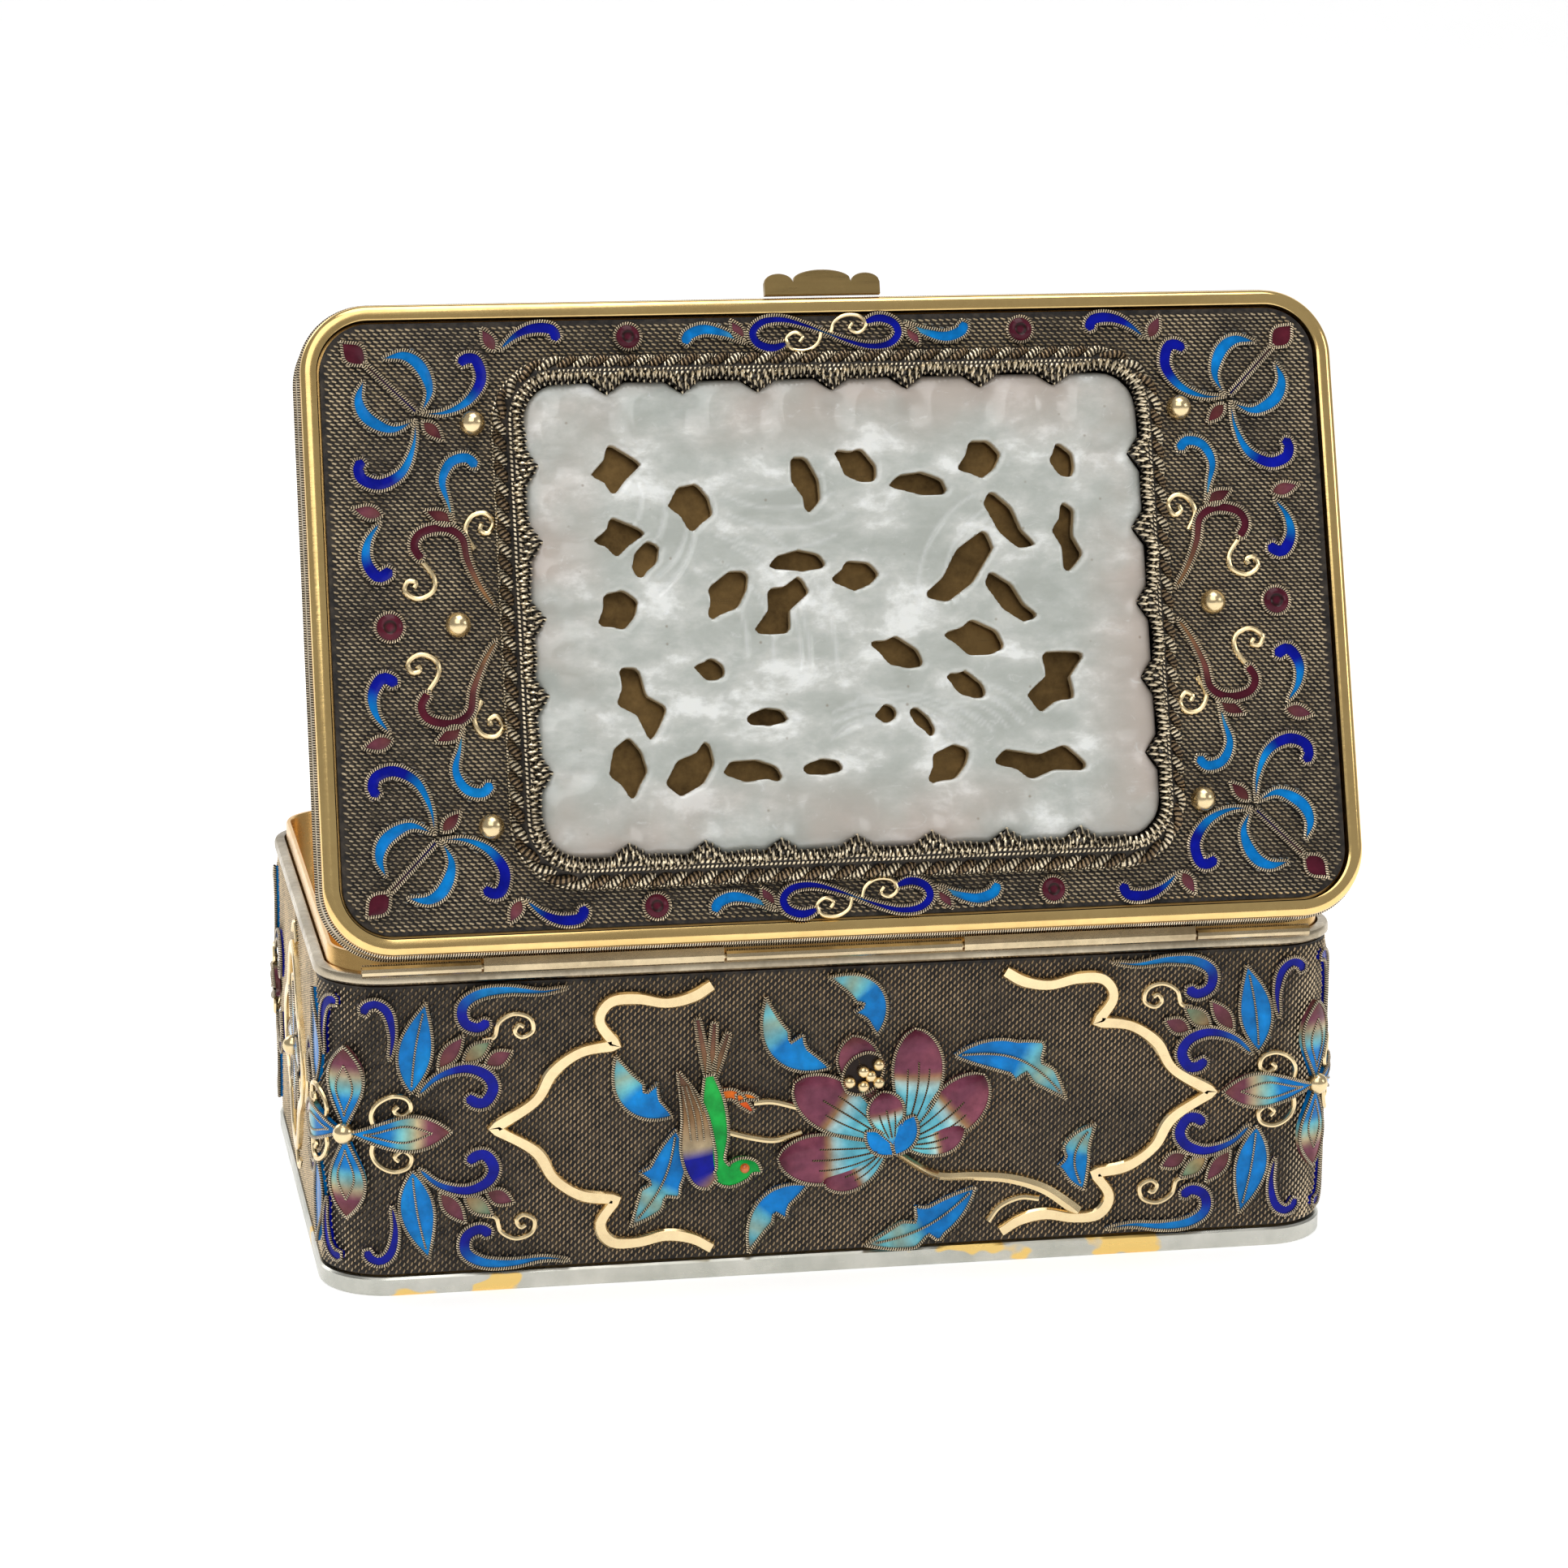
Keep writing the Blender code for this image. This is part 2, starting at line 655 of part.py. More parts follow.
def make_hinge(lid):
    """Five knuckles in turn on the box and on the lid, and the pin through them."""
    inner_length = (hinge_length - 2 * end_knuckle_length) / inner_knuckles
    lengths = [end_knuckle_length] + [inner_length] * inner_knuckles + [end_knuckle_length]
    foot = {10: (knuckle_radius, -knuckle_radius * 0.97), 11: (knuckle_radius, -knuckle_radius * 0.5)}
    reach = knuckle_radius + lid_inset
    wing = {1: (reach, knuckle_radius * 0.4), 2: (reach, knuckle_radius * 0.97)}
    start = -hinge_length / 2
    for index, length in enumerate(lengths):
        if index % 2:
            name = "lid_knuckle_%d" % (index // 2 + 1)
            knuckle(name, start, length - seam, wing, silver(name), lid)
        else:
            name = "box_knuckle_%d" % (index // 2 + 1)
            knuckle(name, start, length - seam, foot, gilt(name))
        start += length
    shape = bmesh.new()
    rows = []
    for x in (-hinge_length / 2, hinge_length / 2 - seam):
        row = []
        for step in range(8):
            angle = 2 * pi * step / 8
            across, up = pin_radius * cos(angle), pin_radius * sin(angle)
            row.append(shape.verts.new((x, hinge_y + across, hinge_z + up)))
        rows.append(row)
    join_rows(shape, rows)
    shape.faces.new(rows[0])
    shape.faces.new(rows[-1])
    add_object("hinge_pin", closed_mesh("hinge_pin", shape), silver("hinge_pin"))


# Lid, drawn closed in the hinge's own frame and carried by the hinge

hinge_origin = (0.0, hinge_y, hinge_z)


def make_lid_shell(lid):
    """Top plate and side wall in one, hollow below."""
    outer = (lid_length, lid_depth, lid_radius)
    loops = [inset_loop(*outer, 0.0, shell_top),
             inset_loop(*outer, 0.0, lid_bottom),
             inset_loop(*outer, lid_wall_thickness, lid_bottom),
             inset_loop(*outer, lid_wall_thickness, shell_top - lid_plate_thickness)]
    add_object("lid_shell", shell("lid_shell", loops, hinge_origin), gilt("lid_shell"), lid)


def make_border(lid):
    """Polished frame with a rounded outer edge."""
    low = shell_top + seam
    profile = [(0.0, low)]
    for step in range(4):
        angle = pi / 2 * step / 3
        profile.append((border_width / 2 * (1 - cos(angle)), low + border_height * (0.4 + 0.6 * sin(angle))))
    profile += [(border_width * 0.8, lid_top), (border_width, field_top), (border_width, low)]
    mesh = ring("lid_border", lid_length, lid_depth, lid_radius, profile, hinge_origin)
    add_object("lid_border", mesh, gilt("lid_border"), lid)


def make_field(lid):
    """Woven field with the scrolls, discs and balls that are soldered to it."""
    outer = (lid_length, lid_depth, lid_radius)
    loops = [inset_loop(*outer, field_inset, shell_top + seam), inset_loop(*outer, field_inset, field_top)]
    pieces = [shell("lid_field", loops, hinge_origin)]

    def disc(place, u, v):
        pieces.append(dome(place, u, v, disc_radius, -soldered_depth, ornament_height))

    def ball(place, u, v):
        pieces.append(dome(place, u, v, ball_radius, -soldered_depth, ball_radius * 1.5))

    for side_x in (1, -1):
        for side_y in (1, -1):
            corner = lid_place(side_x * field_half_length, side_y * field_half_depth, -side_x, -side_y)
            pieces += border_sprig(corner)
            disc(corner, 36.9 * length_unit, long_field / 2)
            ball(corner, 18.0 * end_field_unit, 12.3 * depth_unit)
            pieces += side_spray(lid_place(side_x * field_half_length, 0.0, -side_x, side_y))
    for side in (1, -1):
        pieces += centre_scroll(lid_place(0.0, side * field_half_depth, side, -side))
        place = lid_place(side * field_half_length, 0.0, -side, 1)
        disc(place, 6.9 * end_field_unit, 0.0)
        ball(place, 15.0 * end_field_unit, 0.0)
    fused("lid_field", pieces, oxidised("lid_field"), lid)


def soldered_scroll(place, points, along, rise, wide, weight=1.0):
    """A scroll on the lid's field; weight thins it where the field is narrow."""
    path = scroll_path(scaled(points, along, rise), wide * 0.4 * stroke * weight, wide * stroke * weight)
    return strip(path, place, -soldered_depth, ornament_height)


def border_sprig(place):
    """A scroll beyond each corner motif, along the long edge and down the end."""
    weight = long_field_unit / stroke
    return [soldered_scroll(place, ((21.9, 3.4), (23.6, 1.9), (25.8, 1.0), (27.9, 1.2), (28.3, 2.7)),
                            end_field_unit, long_field_unit, 1.4, weight),
            soldered_scroll(place, ((6.5, 23.9), (4.9, 26.0), (4.6, 28.3), (5.9, 30.2), (7.7, 29.3)),
                            end_field_unit, depth_unit, 1.4)]


def side_spray(place):
    """Hook, and a scroll whose tail runs to the bezel."""
    return [soldered_scroll(place, ((15.2, 12.8), (14.3, 16.2), (15.2, 19.4), (17.3, 20.0), (18.3, 18.6)),
                            end_field_unit, depth_unit, 1.5),
            soldered_scroll(place, ((19.4, 2.6), (17.6, 5.4), (16.4, 9.0), (14.8, 11.4), (12.2, 11.8),
                                    (10.3, 9.8), (11.4, 7.9)), end_field_unit, depth_unit, 1.6)]


def centre_scroll(place):
    """S-scroll with a sprig at each end, the same when turned half round."""
    middle = drawn_long_field / 2
    weight = long_field_unit / stroke
    half = ((-5.5, 3.4), (-7.4, 3.3), (-7.9, 2.1), (-6.8, 1.1), (-4.4, 1.0), (0.0, middle))
    whole = list(half) + [(-u, 2 * middle - v) for u, v in reversed(half[:-1])]
    line = scaled(whole, length_unit, long_field_unit)
    pieces = [strip([(u, v, 1.2 * long_field_unit) for u, v in line], place, -soldered_depth, ornament_height)]
    for turn in (1, -1):
        sprig = [(turn * u, middle + turn * (v - middle))
                 for u, v in ((-9.4, 3.1), (-11.9, 2.1), (-14.6, 1.6), (-16.3, 2.6))]
        pieces.append(soldered_scroll(place, sprig, length_unit, long_field_unit, 1.4, weight))
    return pieces


def make_corner_motifs(lid):
    """Stem with a square bud, two crescents and two scrolling arms, one motif in each corner of the lid."""
    low = seam
    high = seam + ornament_height
    crescent = ((11.9, 11.5), (12.9, 8.7), (12.0, 6.0), (10.2, 4.9), (8.1, 5.3))
    crescent_widths = (0.6, 1.1, 1.4, 1.3, 0.8)
    arm = ((11.9, 11.5), (15.4, 11.3), (17.7, 10.0), (18.9, 7.8), (18.6, 5.9), (17.1, 6.1))
    arm_widths = (0.7, 1.0, 1.3, 1.5, 1.5, 1.0)
    stem = ((5.1, 4.9), (12.1, 11.9))
    bud = ((3.5, 3.3), (4.7, 4.5), (5.9, 5.7))
    leaf = ((11.5, 11.5), (14.7, 14.7))

    def drawn(points, widths):
        places = scaled(points, end_field_unit, depth_unit)
        return [(u, v, width * stroke) for (u, v), width in zip(places, widths)]

    for side_x, word_x in ((1, "right"), (-1, "left")):
        for side_y, word_y in ((1, "front"), (-1, "rear")):
            place = lid_place(side_x * field_half_length, side_y * field_half_depth, -side_x, -side_y)
            drop = 0.0
            pieces = []
            for points, widths in ((crescent, crescent_widths), (arm, arm_widths)):
                for swap in (1, -1):
                    path = drawn([point[::swap] for point in points], widths)
                    pieces.append(strip(path, place, low - drop, high - drop))
                    drop += ornament_height * 0.02
            leaf_line = leaf_path(*scaled(leaf, end_field_unit, depth_unit), 1.7 * stroke, 0.0, 0.5 * stroke, 3)
            for path in (drawn(stem, (0.9, 0.9)), drawn(bud, (0.0, 2.4, 0.0)), leaf_line):
                pieces.append(strip(path, place, low - drop, high + drop))
            name = "lid_motif_%s_%s" % (word_y, word_x)
            fused(name, pieces, enamel(name, sky), lid)


def make_thumbpiece(lid):
    """Brass tab with one large lobe between two small ones."""
    outline = [(-thumbpiece_length / 2, 0.0)]
    small = thumbpiece_length * 0.19
    for centre, radius in ((-0.34, small), (0.0, small * 1.1), (0.34, small)):
        reach = thumbpiece_reach if centre == 0 else thumbpiece_reach * 0.78
        for step in range(5):
            angle = pi * (1 - step / 4)
            outline.append((centre * thumbpiece_length + radius * 0.8 * cos(angle),
                            reach * (0.62 + 0.38 * sin(angle))))
    outline.append((thumbpiece_length / 2, 0.0))
    shape = bmesh.new()
    rows = []
    front = lid_depth / 2 + seam - hinge_y
    middle = lid_top - border_height / 2 - hinge_z
    for z in (middle - thumbpiece_thickness / 2, middle + thumbpiece_thickness / 2):
        rows.append([shape.verts.new((x, front + y, z)) for x, y in outline])
    join_rows(shape, rows)
    shape.faces.new(rows[0])
    shape.faces.new(rows[-1])
    material = finish("thumbpiece", (0.45, 0.32, 0.12), 0.35, 1.0)
    add_object("thumbpiece", closed_mesh("thumbpiece", shape), material, lid)


# Jade and bezel

def claw_stations(length, depth, radius):
    """Round a rounded rectangle: points, outward directions, and 1 at each claw's tip."""
    stations = []
    sides = ((length, 0), (depth, 1), (length, 2), (depth, 3))
    for run, quarter in sides:
        heading = quarter * pi / 2
        along = Vector((cos(heading), sin(heading)))
        outward = Vector((sin(heading), -cos(heading)))
        straight = run - 2 * radius
        across = (depth if quarter % 2 == 0 else length) / 2
        claws = int(straight / claw_pitch)
        for index in range(claws):
            centre = (index - (claws - 1) / 2) * claw_pitch
            for shift, tip in ((-0.5, 0), (0, 1), (0.5, 0)):
                point = outward * across + along * (centre + shift * claw_width)
                stations.append((point, outward, tip))
        for step in range(4):
            turn = heading + pi / 2 * step / 3
            direction = Vector((sin(turn), -cos(turn)))
            corner = outward * (across - radius) + along * (straight / 2)
            stations.append((corner + direction * radius, direction, 0))
    return stations


def make_bezel(lid):
    """Plaited outer wire, twisted inner collar and pointed claws over the jade's edge."""
    lip = seam + jade_thickness + seam
    shape = bmesh.new()
    rows = []
    base = Vector((0.0, -hinge_y, field_top - hinge_z))
    for point, outward, tip in claw_stations(bezel_inner_length, bezel_inner_depth, jade_radius):
        bite = claw_length * (1 if tip else 0.08)
        profile = ((0.0, seam), (0.0, lip), (-bite, lip), (-bite, (lip + bezel_height) / 2),
                   (bezel_width * 0.22, bezel_height), (bezel_width * 0.4, bezel_height * 0.6),
                   (bezel_width * 0.8, bezel_height * 0.6), (bezel_width, seam))
        row = []
        for out, lift in profile:
            place = point + outward * out
            row.append(shape.verts.new(Vector((place.x, place.y, lift)) + base))
        rows.append(row)
    join_rows(shape, rows + rows[:1])
    add_object("bezel", closed_mesh("bezel", shape), gilt("bezel"), lid)


# Outlines of the gaps between the carved leaves, one unit long and one wide
gap_shapes = {
    "star": ((-0.5, -0.1), (-0.22, 0.18), (-0.14, 0.5), (0.2, 0.3),
             (0.5, 0.1), (0.16, -0.2), (-0.08, -0.5), (-0.24, -0.22)),
    "kite": ((-0.5, -0.18), (-0.22, 0.18), (-0.12, 0.5), (0.3, 0.42),
             (0.5, 0.04), (0.3, -0.3), (0.0, -0.5), (-0.24, -0.3)),
    "moon": ((-0.5, -0.3), (-0.32, 0.24), (0.04, 0.5), (0.38, 0.28), (0.5, -0.34), (0.08, -0.5), (-0.2, -0.4)),
    "comma": ((-0.5, 0.08), (-0.36, 0.5), (0.08, 0.46), (0.4, 0.14), (0.5, -0.5), (0.2, -0.26), (-0.14, -0.3)),
    "fork": ((-0.5, 0.02), (-0.36, 0.42), (-0.02, 0.22), (0.24, 0.5), (0.38, 0.12),
             (0.5, -0.3), (0.12, -0.22), (-0.12, -0.5), (-0.26, -0.16)),
}

# Shape, place on the plaque, length, width (minus: mirrored) and lean in degrees
jade_gaps = (
    ("star", -26.6, 17.8, 5.8, 6.0, 0), ("kite", -17.8, 13.0, 5.6, 5.0, 70),
    ("comma", -4.0, 15.6, 6.4, 3.6, -60), ("star", -26.6, 9.7, 6.2, 4.6, 0),
    ("comma", -23.5, 6.8, 4.4, -3.2, -140), ("kite", -27.4, 0.9, 5.4, 4.4, 20),
    ("kite", -14.2, 2.4, 7.4, 3.8, 42), ("moon", -5.4, 6.3, 6.8, 2.4, 0),
    ("fork", -7.6, 0.8, 8.4, 4.6, -122), ("kite", 1.4, 4.3, 6.0, 3.4, 0),
    ("kite", 2.4, 17.8, 6.0, 3.6, -46), ("moon", 10.0, 15.3, 7.0, 2.6, -8),
    ("kite", 17.5, 18.0, 5.4, 4.4, 8), ("kite", 27.9, 17.8, 4.8, -2.8, -64),
    ("comma", 20.8, 10.5, 8.0, -3.4, -66), ("comma", 14.6, 5.0, 10.4, 4.4, -122),
    ("fork", 27.9, 8.2, 8.4, 3.2, -84), ("comma", 20.5, 1.2, 7.6, -3.2, -58),
    ("kite", -16.6, -6.4, 3.8, 2.6, -26), ("fork", -25.2, -10.0, 8.8, 4.6, -60),
    ("kite", -26.9, -18.0, 7.2, 4.2, 84), ("comma", -19.5, -18.1, 6.6, -4.6, 24),
    ("comma", -12.0, -18.9, 6.8, 3.0, 4), ("moon", -10.2, -12.3, 5.2, 2.0, 4),
    ("moon", -3.8, -18.5, 5.2, 1.8, 4), ("kite", 6.1, -5.0, 7.0, 3.2, -30),
    ("kite", 15.7, -3.7, 7.4, 4.0, -20), ("fork", 25.6, -9.0, 8.4, 5.6, 62),
    ("kite", 14.3, -9.1, 5.8, 2.6, -36), ("kite", 4.4, -12.4, 2.8, 2.2, -8),
    ("comma", 8.8, -13.6, 4.2, 2.0, -40), ("kite", 11.5, -18.8, 6.4, 3.6, 30),
    ("fork", 23.2, -18.9, 11.4, 3.8, 0))


def make_jade(lid):
    """Pierced plaque under the claws of the bezel."""
    base = Vector((0.0, -hinge_y, field_top + seam - hinge_z))
    outline = [point for point, outward in rounded_outline(jade_length, jade_depth, jade_radius)]
    gap_unit = hole_pitch / drawn_pitch
    cutters = []
    for shape, x, y, length, width, lean in jade_gaps:
        centre = Vector((x * jade_length / drawn_jade_length, y * jade_depth / drawn_jade_depth))
        along = Vector((cos(radians(lean)), sin(radians(lean))))
        across = Vector((-along.y, along.x))
        hole = [centre + (along * (u * length) + across * (v * width)) * gap_unit
                for u, v in gap_shapes[shape]]
        cutters.append(prism(hole, base, -jade_thickness, 2 * jade_thickness))
    plate = prism(outline, base, 0.0, jade_thickness)
    jade = finish("jade_plaque", (0.62, 0.64, 0.58), 0.25, 0.0)
    combined("jade_plaque", plate, cutters, jade, lid, "DIFFERENCE")


def prism(outline, base, low, high):
    shape = bmesh.new()
    rows = []
    for z in (low, high):
        rows.append([shape.verts.new(Vector((point.x, point.y, z)) + base) for point in outline])
    join_rows(shape, rows)
    shape.faces.new(rows[0])
    shape.faces.new(rows[-1])
    return closed_mesh("prism", shape)


def main():
    clear_scene()
    lid = bpy.data.objects.new("lid_hinge", None)
    lid.location = hinge_origin
    lid.rotation_euler = (radians(lid_open_angle), 0.0, 0.0)
    bpy.context.scene.collection.objects.link(lid)
    make_liner()
    make_band()
    make_rim()
    make_woven_wall()
    make_corner_flowers()
    make_cartouches()
    make_lotus("rear", 0.0, True)
    make_lotus("front", half_round, False)
    make_bird()
    make_medallions()
    make_hinge(lid)
    make_lid_shell(lid)
    make_border(lid)
    make_field(lid)
    make_corner_motifs(lid)
    make_thumbpiece(lid)
    make_bezel(lid)
    make_jade(lid)


main()
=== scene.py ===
# Filigree box with enamel and a jade plaque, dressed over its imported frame.
import json
from math import cos, pi, radians, sin

import bmesh
import bpy
import numpy as np
from mathutils import Matrix, Vector

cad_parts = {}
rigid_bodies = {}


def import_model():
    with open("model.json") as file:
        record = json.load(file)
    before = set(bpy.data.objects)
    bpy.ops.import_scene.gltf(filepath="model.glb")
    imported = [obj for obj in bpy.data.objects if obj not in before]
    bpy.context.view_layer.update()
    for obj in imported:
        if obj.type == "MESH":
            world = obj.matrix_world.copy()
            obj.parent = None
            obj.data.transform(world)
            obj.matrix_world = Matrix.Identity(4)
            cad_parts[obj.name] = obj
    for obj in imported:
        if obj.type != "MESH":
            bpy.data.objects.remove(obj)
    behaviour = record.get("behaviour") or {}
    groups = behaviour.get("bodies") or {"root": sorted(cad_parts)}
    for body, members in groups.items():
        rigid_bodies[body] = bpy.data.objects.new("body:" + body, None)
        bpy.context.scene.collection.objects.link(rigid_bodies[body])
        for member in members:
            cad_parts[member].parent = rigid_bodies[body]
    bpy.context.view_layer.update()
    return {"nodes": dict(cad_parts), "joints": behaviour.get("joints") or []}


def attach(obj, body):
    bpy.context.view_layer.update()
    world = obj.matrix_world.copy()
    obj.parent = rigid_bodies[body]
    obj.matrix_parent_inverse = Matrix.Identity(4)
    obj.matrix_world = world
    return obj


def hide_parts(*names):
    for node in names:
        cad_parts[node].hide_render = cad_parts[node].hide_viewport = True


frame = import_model()
mm = 0.001

joint = frame["joints"][0]
hinge = Vector(joint["pos_m"])
openAngle = -radians(joint["range_deg"][0])
lidToWorld = Matrix.Translation(hinge) @ Matrix.Rotation(openAngle, 4, "X") @ Matrix.Translation(-hinge)
worldToLid = lidToWorld.inverted()


def nodePoints(name, closed=False):
    mesh = frame["nodes"][name].data
    points = np.zeros(len(mesh.vertices) * 3)
    mesh.vertices.foreach_get("co", points)
    points = points.reshape(-1, 3)
    if closed:
        turn = np.array(worldToLid)
        points = points @ turn[:3, :3].T + turn[:3, 3]
    return points


def nodeBox(name, closed=False):
    points = nodePoints(name, closed)
    return points.min(0), points.max(0)


bandLow, bandHigh = nodeBox("base_band")
rimLow, rimHigh = nodeBox("top_rim")
linerHigh = nodeBox("gilt_liner")[1]
borderLow, borderHigh = nodeBox("lid_border", True)
shellLow, shellHigh = nodeBox("lid_shell", True)
bezelHigh = nodeBox("bezel", True)[1]
jadeLow, jadeHigh = nodeBox("jade_plaque", True)
thumbLow, thumbHigh = nodeBox("thumbpiece", True)
boxLength, boxDepth = bandHigh[0] - bandLow[0], bandHigh[1] - bandLow[1]
lidLength, lidDepth = borderHigh[0] - borderLow[0], borderHigh[1] - borderLow[1]
lidTop = borderHigh[2]

box = {"cornerRadius": 8.5 * mm, "wallRecess": 0.5 * mm, "wallThickness": 0.8 * mm, "seam": 0.3 * mm,
       "linerThickness": 0.7 * mm, "floorThickness": 1.0 * mm}
lid = {"wallThickness": 0.9 * mm, "plateThickness": 1.0 * mm, "borderWidth": 2.0 * mm,
       "fieldRecess": 0.4 * mm}

seam = box["seam"]
wallBottom = bandHigh[2] + seam
wallTop = rimLow[2] - seam
wallMiddle = (wallBottom + wallTop) / 2
wallRadius = box["cornerRadius"] - box["wallRecess"]
sideRun = boxLength / 2 - box["cornerRadius"]
endRun = boxDepth / 2 - box["cornerRadius"]
cornerRun = wallRadius * pi / 2
halfRound = 2 * (sideRun + endRun + cornerRun)
lidRadius = box["cornerRadius"] - (boxLength - lidLength) / 2
fieldTop = lidTop - lid["fieldRecess"]
fieldInset = lid["borderWidth"] + seam
fieldX = lidLength / 2 - fieldInset
fieldY = lidDepth / 2 - fieldInset
bezelX, bezelY = bezelHigh[0], bezelHigh[1]

# The drawings below are in units that stretch with these surfaces, about a millimetre each
sideUnit = sideRun / 55.0
riseUnit = (wallTop - wallBottom) / 36.7
endUnit = endRun / 30.3
endFieldUnit = (fieldX - bezelX) / 20.0
longFieldUnit = (fieldY - bezelY) / 4.4
depthUnit = fieldY / 36.3
lengthUnit = fieldX / 61.0


class Val:
    # A socket that takes part in sums

    def __init__(self, shader, socket):
        self.shader, self.socket = shader, socket

    def maths(self, operation, *values):
        return self.shader.node("ShaderNodeMath", {"operation": operation}, values)

    def __add__(self, other):
        return self.maths("ADD", self, other)

    def __radd__(self, other):
        return self.maths("ADD", other, self)

    def __sub__(self, other):
        return self.maths("SUBTRACT", self, other)

    def __rsub__(self, other):
        return self.maths("SUBTRACT", other, self)

    def __mul__(self, other):
        return self.maths("MULTIPLY", self, other)

    def __rmul__(self, other):
        return self.maths("MULTIPLY", other, self)

    def sine(self):
        return self.maths("SINE", self)


class Shader:
    # One material's nodes

    def __init__(self, name):
        self.material = bpy.data.materials.new(name)
        self.material.use_nodes = True
        self.tree = self.material.node_tree
        self.surface = self.tree.nodes["Principled BSDF"]

    def put(self, socket, value):
        if isinstance(value, Val):
            self.tree.links.new(value.socket, socket)
        elif isinstance(value, tuple) and socket.type == "RGBA":
            socket.default_value = (*value, 1.0)
        else:
            socket.default_value = value

    def node(self, kind, settings=None, values=(), output=0):
        made = self.tree.nodes.new(kind)
        for name, value in (settings or {}).items():
            if name == "stops":
                ramp = made.color_ramp
                while len(ramp.elements) < len(value):
                    ramp.elements.new(0.5)
                for element, (place, colour) in zip(ramp.elements, value):
                    element.position = place
                    element.color = (*colour, 1.0)
            else:
                setattr(made, name, value)
        pairs = values.items() if isinstance(values, dict) else enumerate(values)
        for name, value in pairs:
            self.put(made.inputs[name], value)
        return Val(self, made.outputs[output])

    def set(self, **values):
        for name, value in values.items():
            self.put(self.surface.inputs[name.replace("_", " ")], value)

    def place(self):
        return self.node("ShaderNodeTexCoord", output=3)

    def noise(self, scale, detail=4.0, rough=0.55, where=None, distortion=0.0):
        values = {"Scale": scale, "Detail": detail, "Roughness": rough, "Distortion": distortion,
                  "Vector": where or self.place()}
        return self.node("ShaderNodeTexNoise", {}, values)

    def stretched(self, scale):
        return self.node("ShaderNodeMapping", {}, {"Vector": self.place(), "Scale": scale})

    def ramp(self, value, *stops):
        return self.node("ShaderNodeValToRGB", {"stops": stops}, [value])

    def span(self, value, low, high, outLow=0.0, outHigh=1.0):
        return self.node("ShaderNodeMapRange", {}, [value, low, high, outLow, outHigh])

    def mix(self, share, first, second, blend="MIX"):
        settings = {"data_type": "RGBA", "blend_type": blend}
        return self.node("ShaderNodeMix", settings, {0: share, 6: first, 7: second}, 2)

    def tinted(self, first, second):
        return self.mix(1.0, first, second, "MULTIPLY")

    def given(self, name, output=0):
        return self.node("ShaderNodeAttribute", {"attribute_name": name}, output=output)

    def bump(self, height, strength, distance):
        values = {"Strength": strength, "Distance": distance, "Height": height}
        self.set(Normal=self.node("ShaderNodeBump", {}, values))


finish = {
    "polishedGold": (0.93, 0.66, 0.27), "paleGold": (0.90, 0.72, 0.42), "insideGold": (0.84, 0.53, 0.19),
    "silver": (0.63, 0.62, 0.56), "ground": (0.012, 0.010, 0.009), "brass": (0.36, 0.25, 0.10),
}
hue = {
    "sky": (0.002, 0.20, 0.60), "pale": (0.13, 0.48, 0.60), "navy": (0.002, 0.006, 0.30),
    "deep": (0.004, 0.006, 0.12), "maroon": (0.085, 0.010, 0.022), "plum": (0.19, 0.050, 0.085),
    "brown": (0.14, 0.045, 0.040), "tan": (0.36, 0.20, 0.085), "cream": (0.46, 0.36, 0.22),
    "leafGreen": (0.16, 0.30, 0.20), "white": (0.40, 0.62, 0.64), "sage": (0.27, 0.40, 0.34),
    "birdGreen": (0.006, 0.36, 0.055), "lime": (0.02, 0.46, 0.07), "orange": (0.80, 0.19, 0.010),
    "red": (0.60, 0.06, 0.01), "umber": (0.09, 0.040, 0.03), "pod": (0.018, 0.010, 0.008),
}


def makeMetal(name, colour, roughness, wear, grain=900.0, dents=0.00002, tarnish=None):
    # Worked metal: cloudy wear, fine scratches and slow dents
    s = Shader(name)
    cloud = s.noise(90.0, 5.0, 0.6)
    fine = s.noise(grain, 3.0, 0.7)
    scratch = s.noise(260.0, 4.0, 0.75, s.stretched((0.25, 2.2, 5.0)))
    mask = s.span(cloud + 0.35 * fine, 0.55, 0.95)
    s.set(Base_Color=s.mix(mask * wear, colour, tarnish or tuple(c * 0.45 for c in colour)), Metallic=1.0)
    s.set(Roughness=s.span(scratch + 0.4 * mask, 0.35, 1.1, roughness * 0.7, roughness * 1.7))
    s.bump(scratch * 0.5 + cloud, 0.5, dents)
    return s.material


def makeGilded(name):
    # Pale silver that keeps patches of yellow gilding
    s = Shader(name)
    where = s.stretched((1.0, 1.0, 1.7))
    patch = s.span(s.noise(62.0, 3.0, 0.55, where), 0.605, 0.62)
    cloud = s.noise(140.0, 5.0, 0.6)
    scratch = s.noise(300.0, 4.0, 0.8, s.stretched((0.3, 0.3, 4.0)))
    grey = s.mix(s.span(cloud, 0.35, 0.75), finish["silver"], (0.42, 0.43, 0.38))
    s.set(Base_Color=s.mix(patch, grey, (0.86, 0.60, 0.20)), Metallic=0.95)
    s.set(Roughness=s.span(scratch, 0.3, 0.8, 0.22, 0.45))
    s.bump(scratch * 0.6 + patch * 0.5, 0.5, 0.00003)
    return s.material


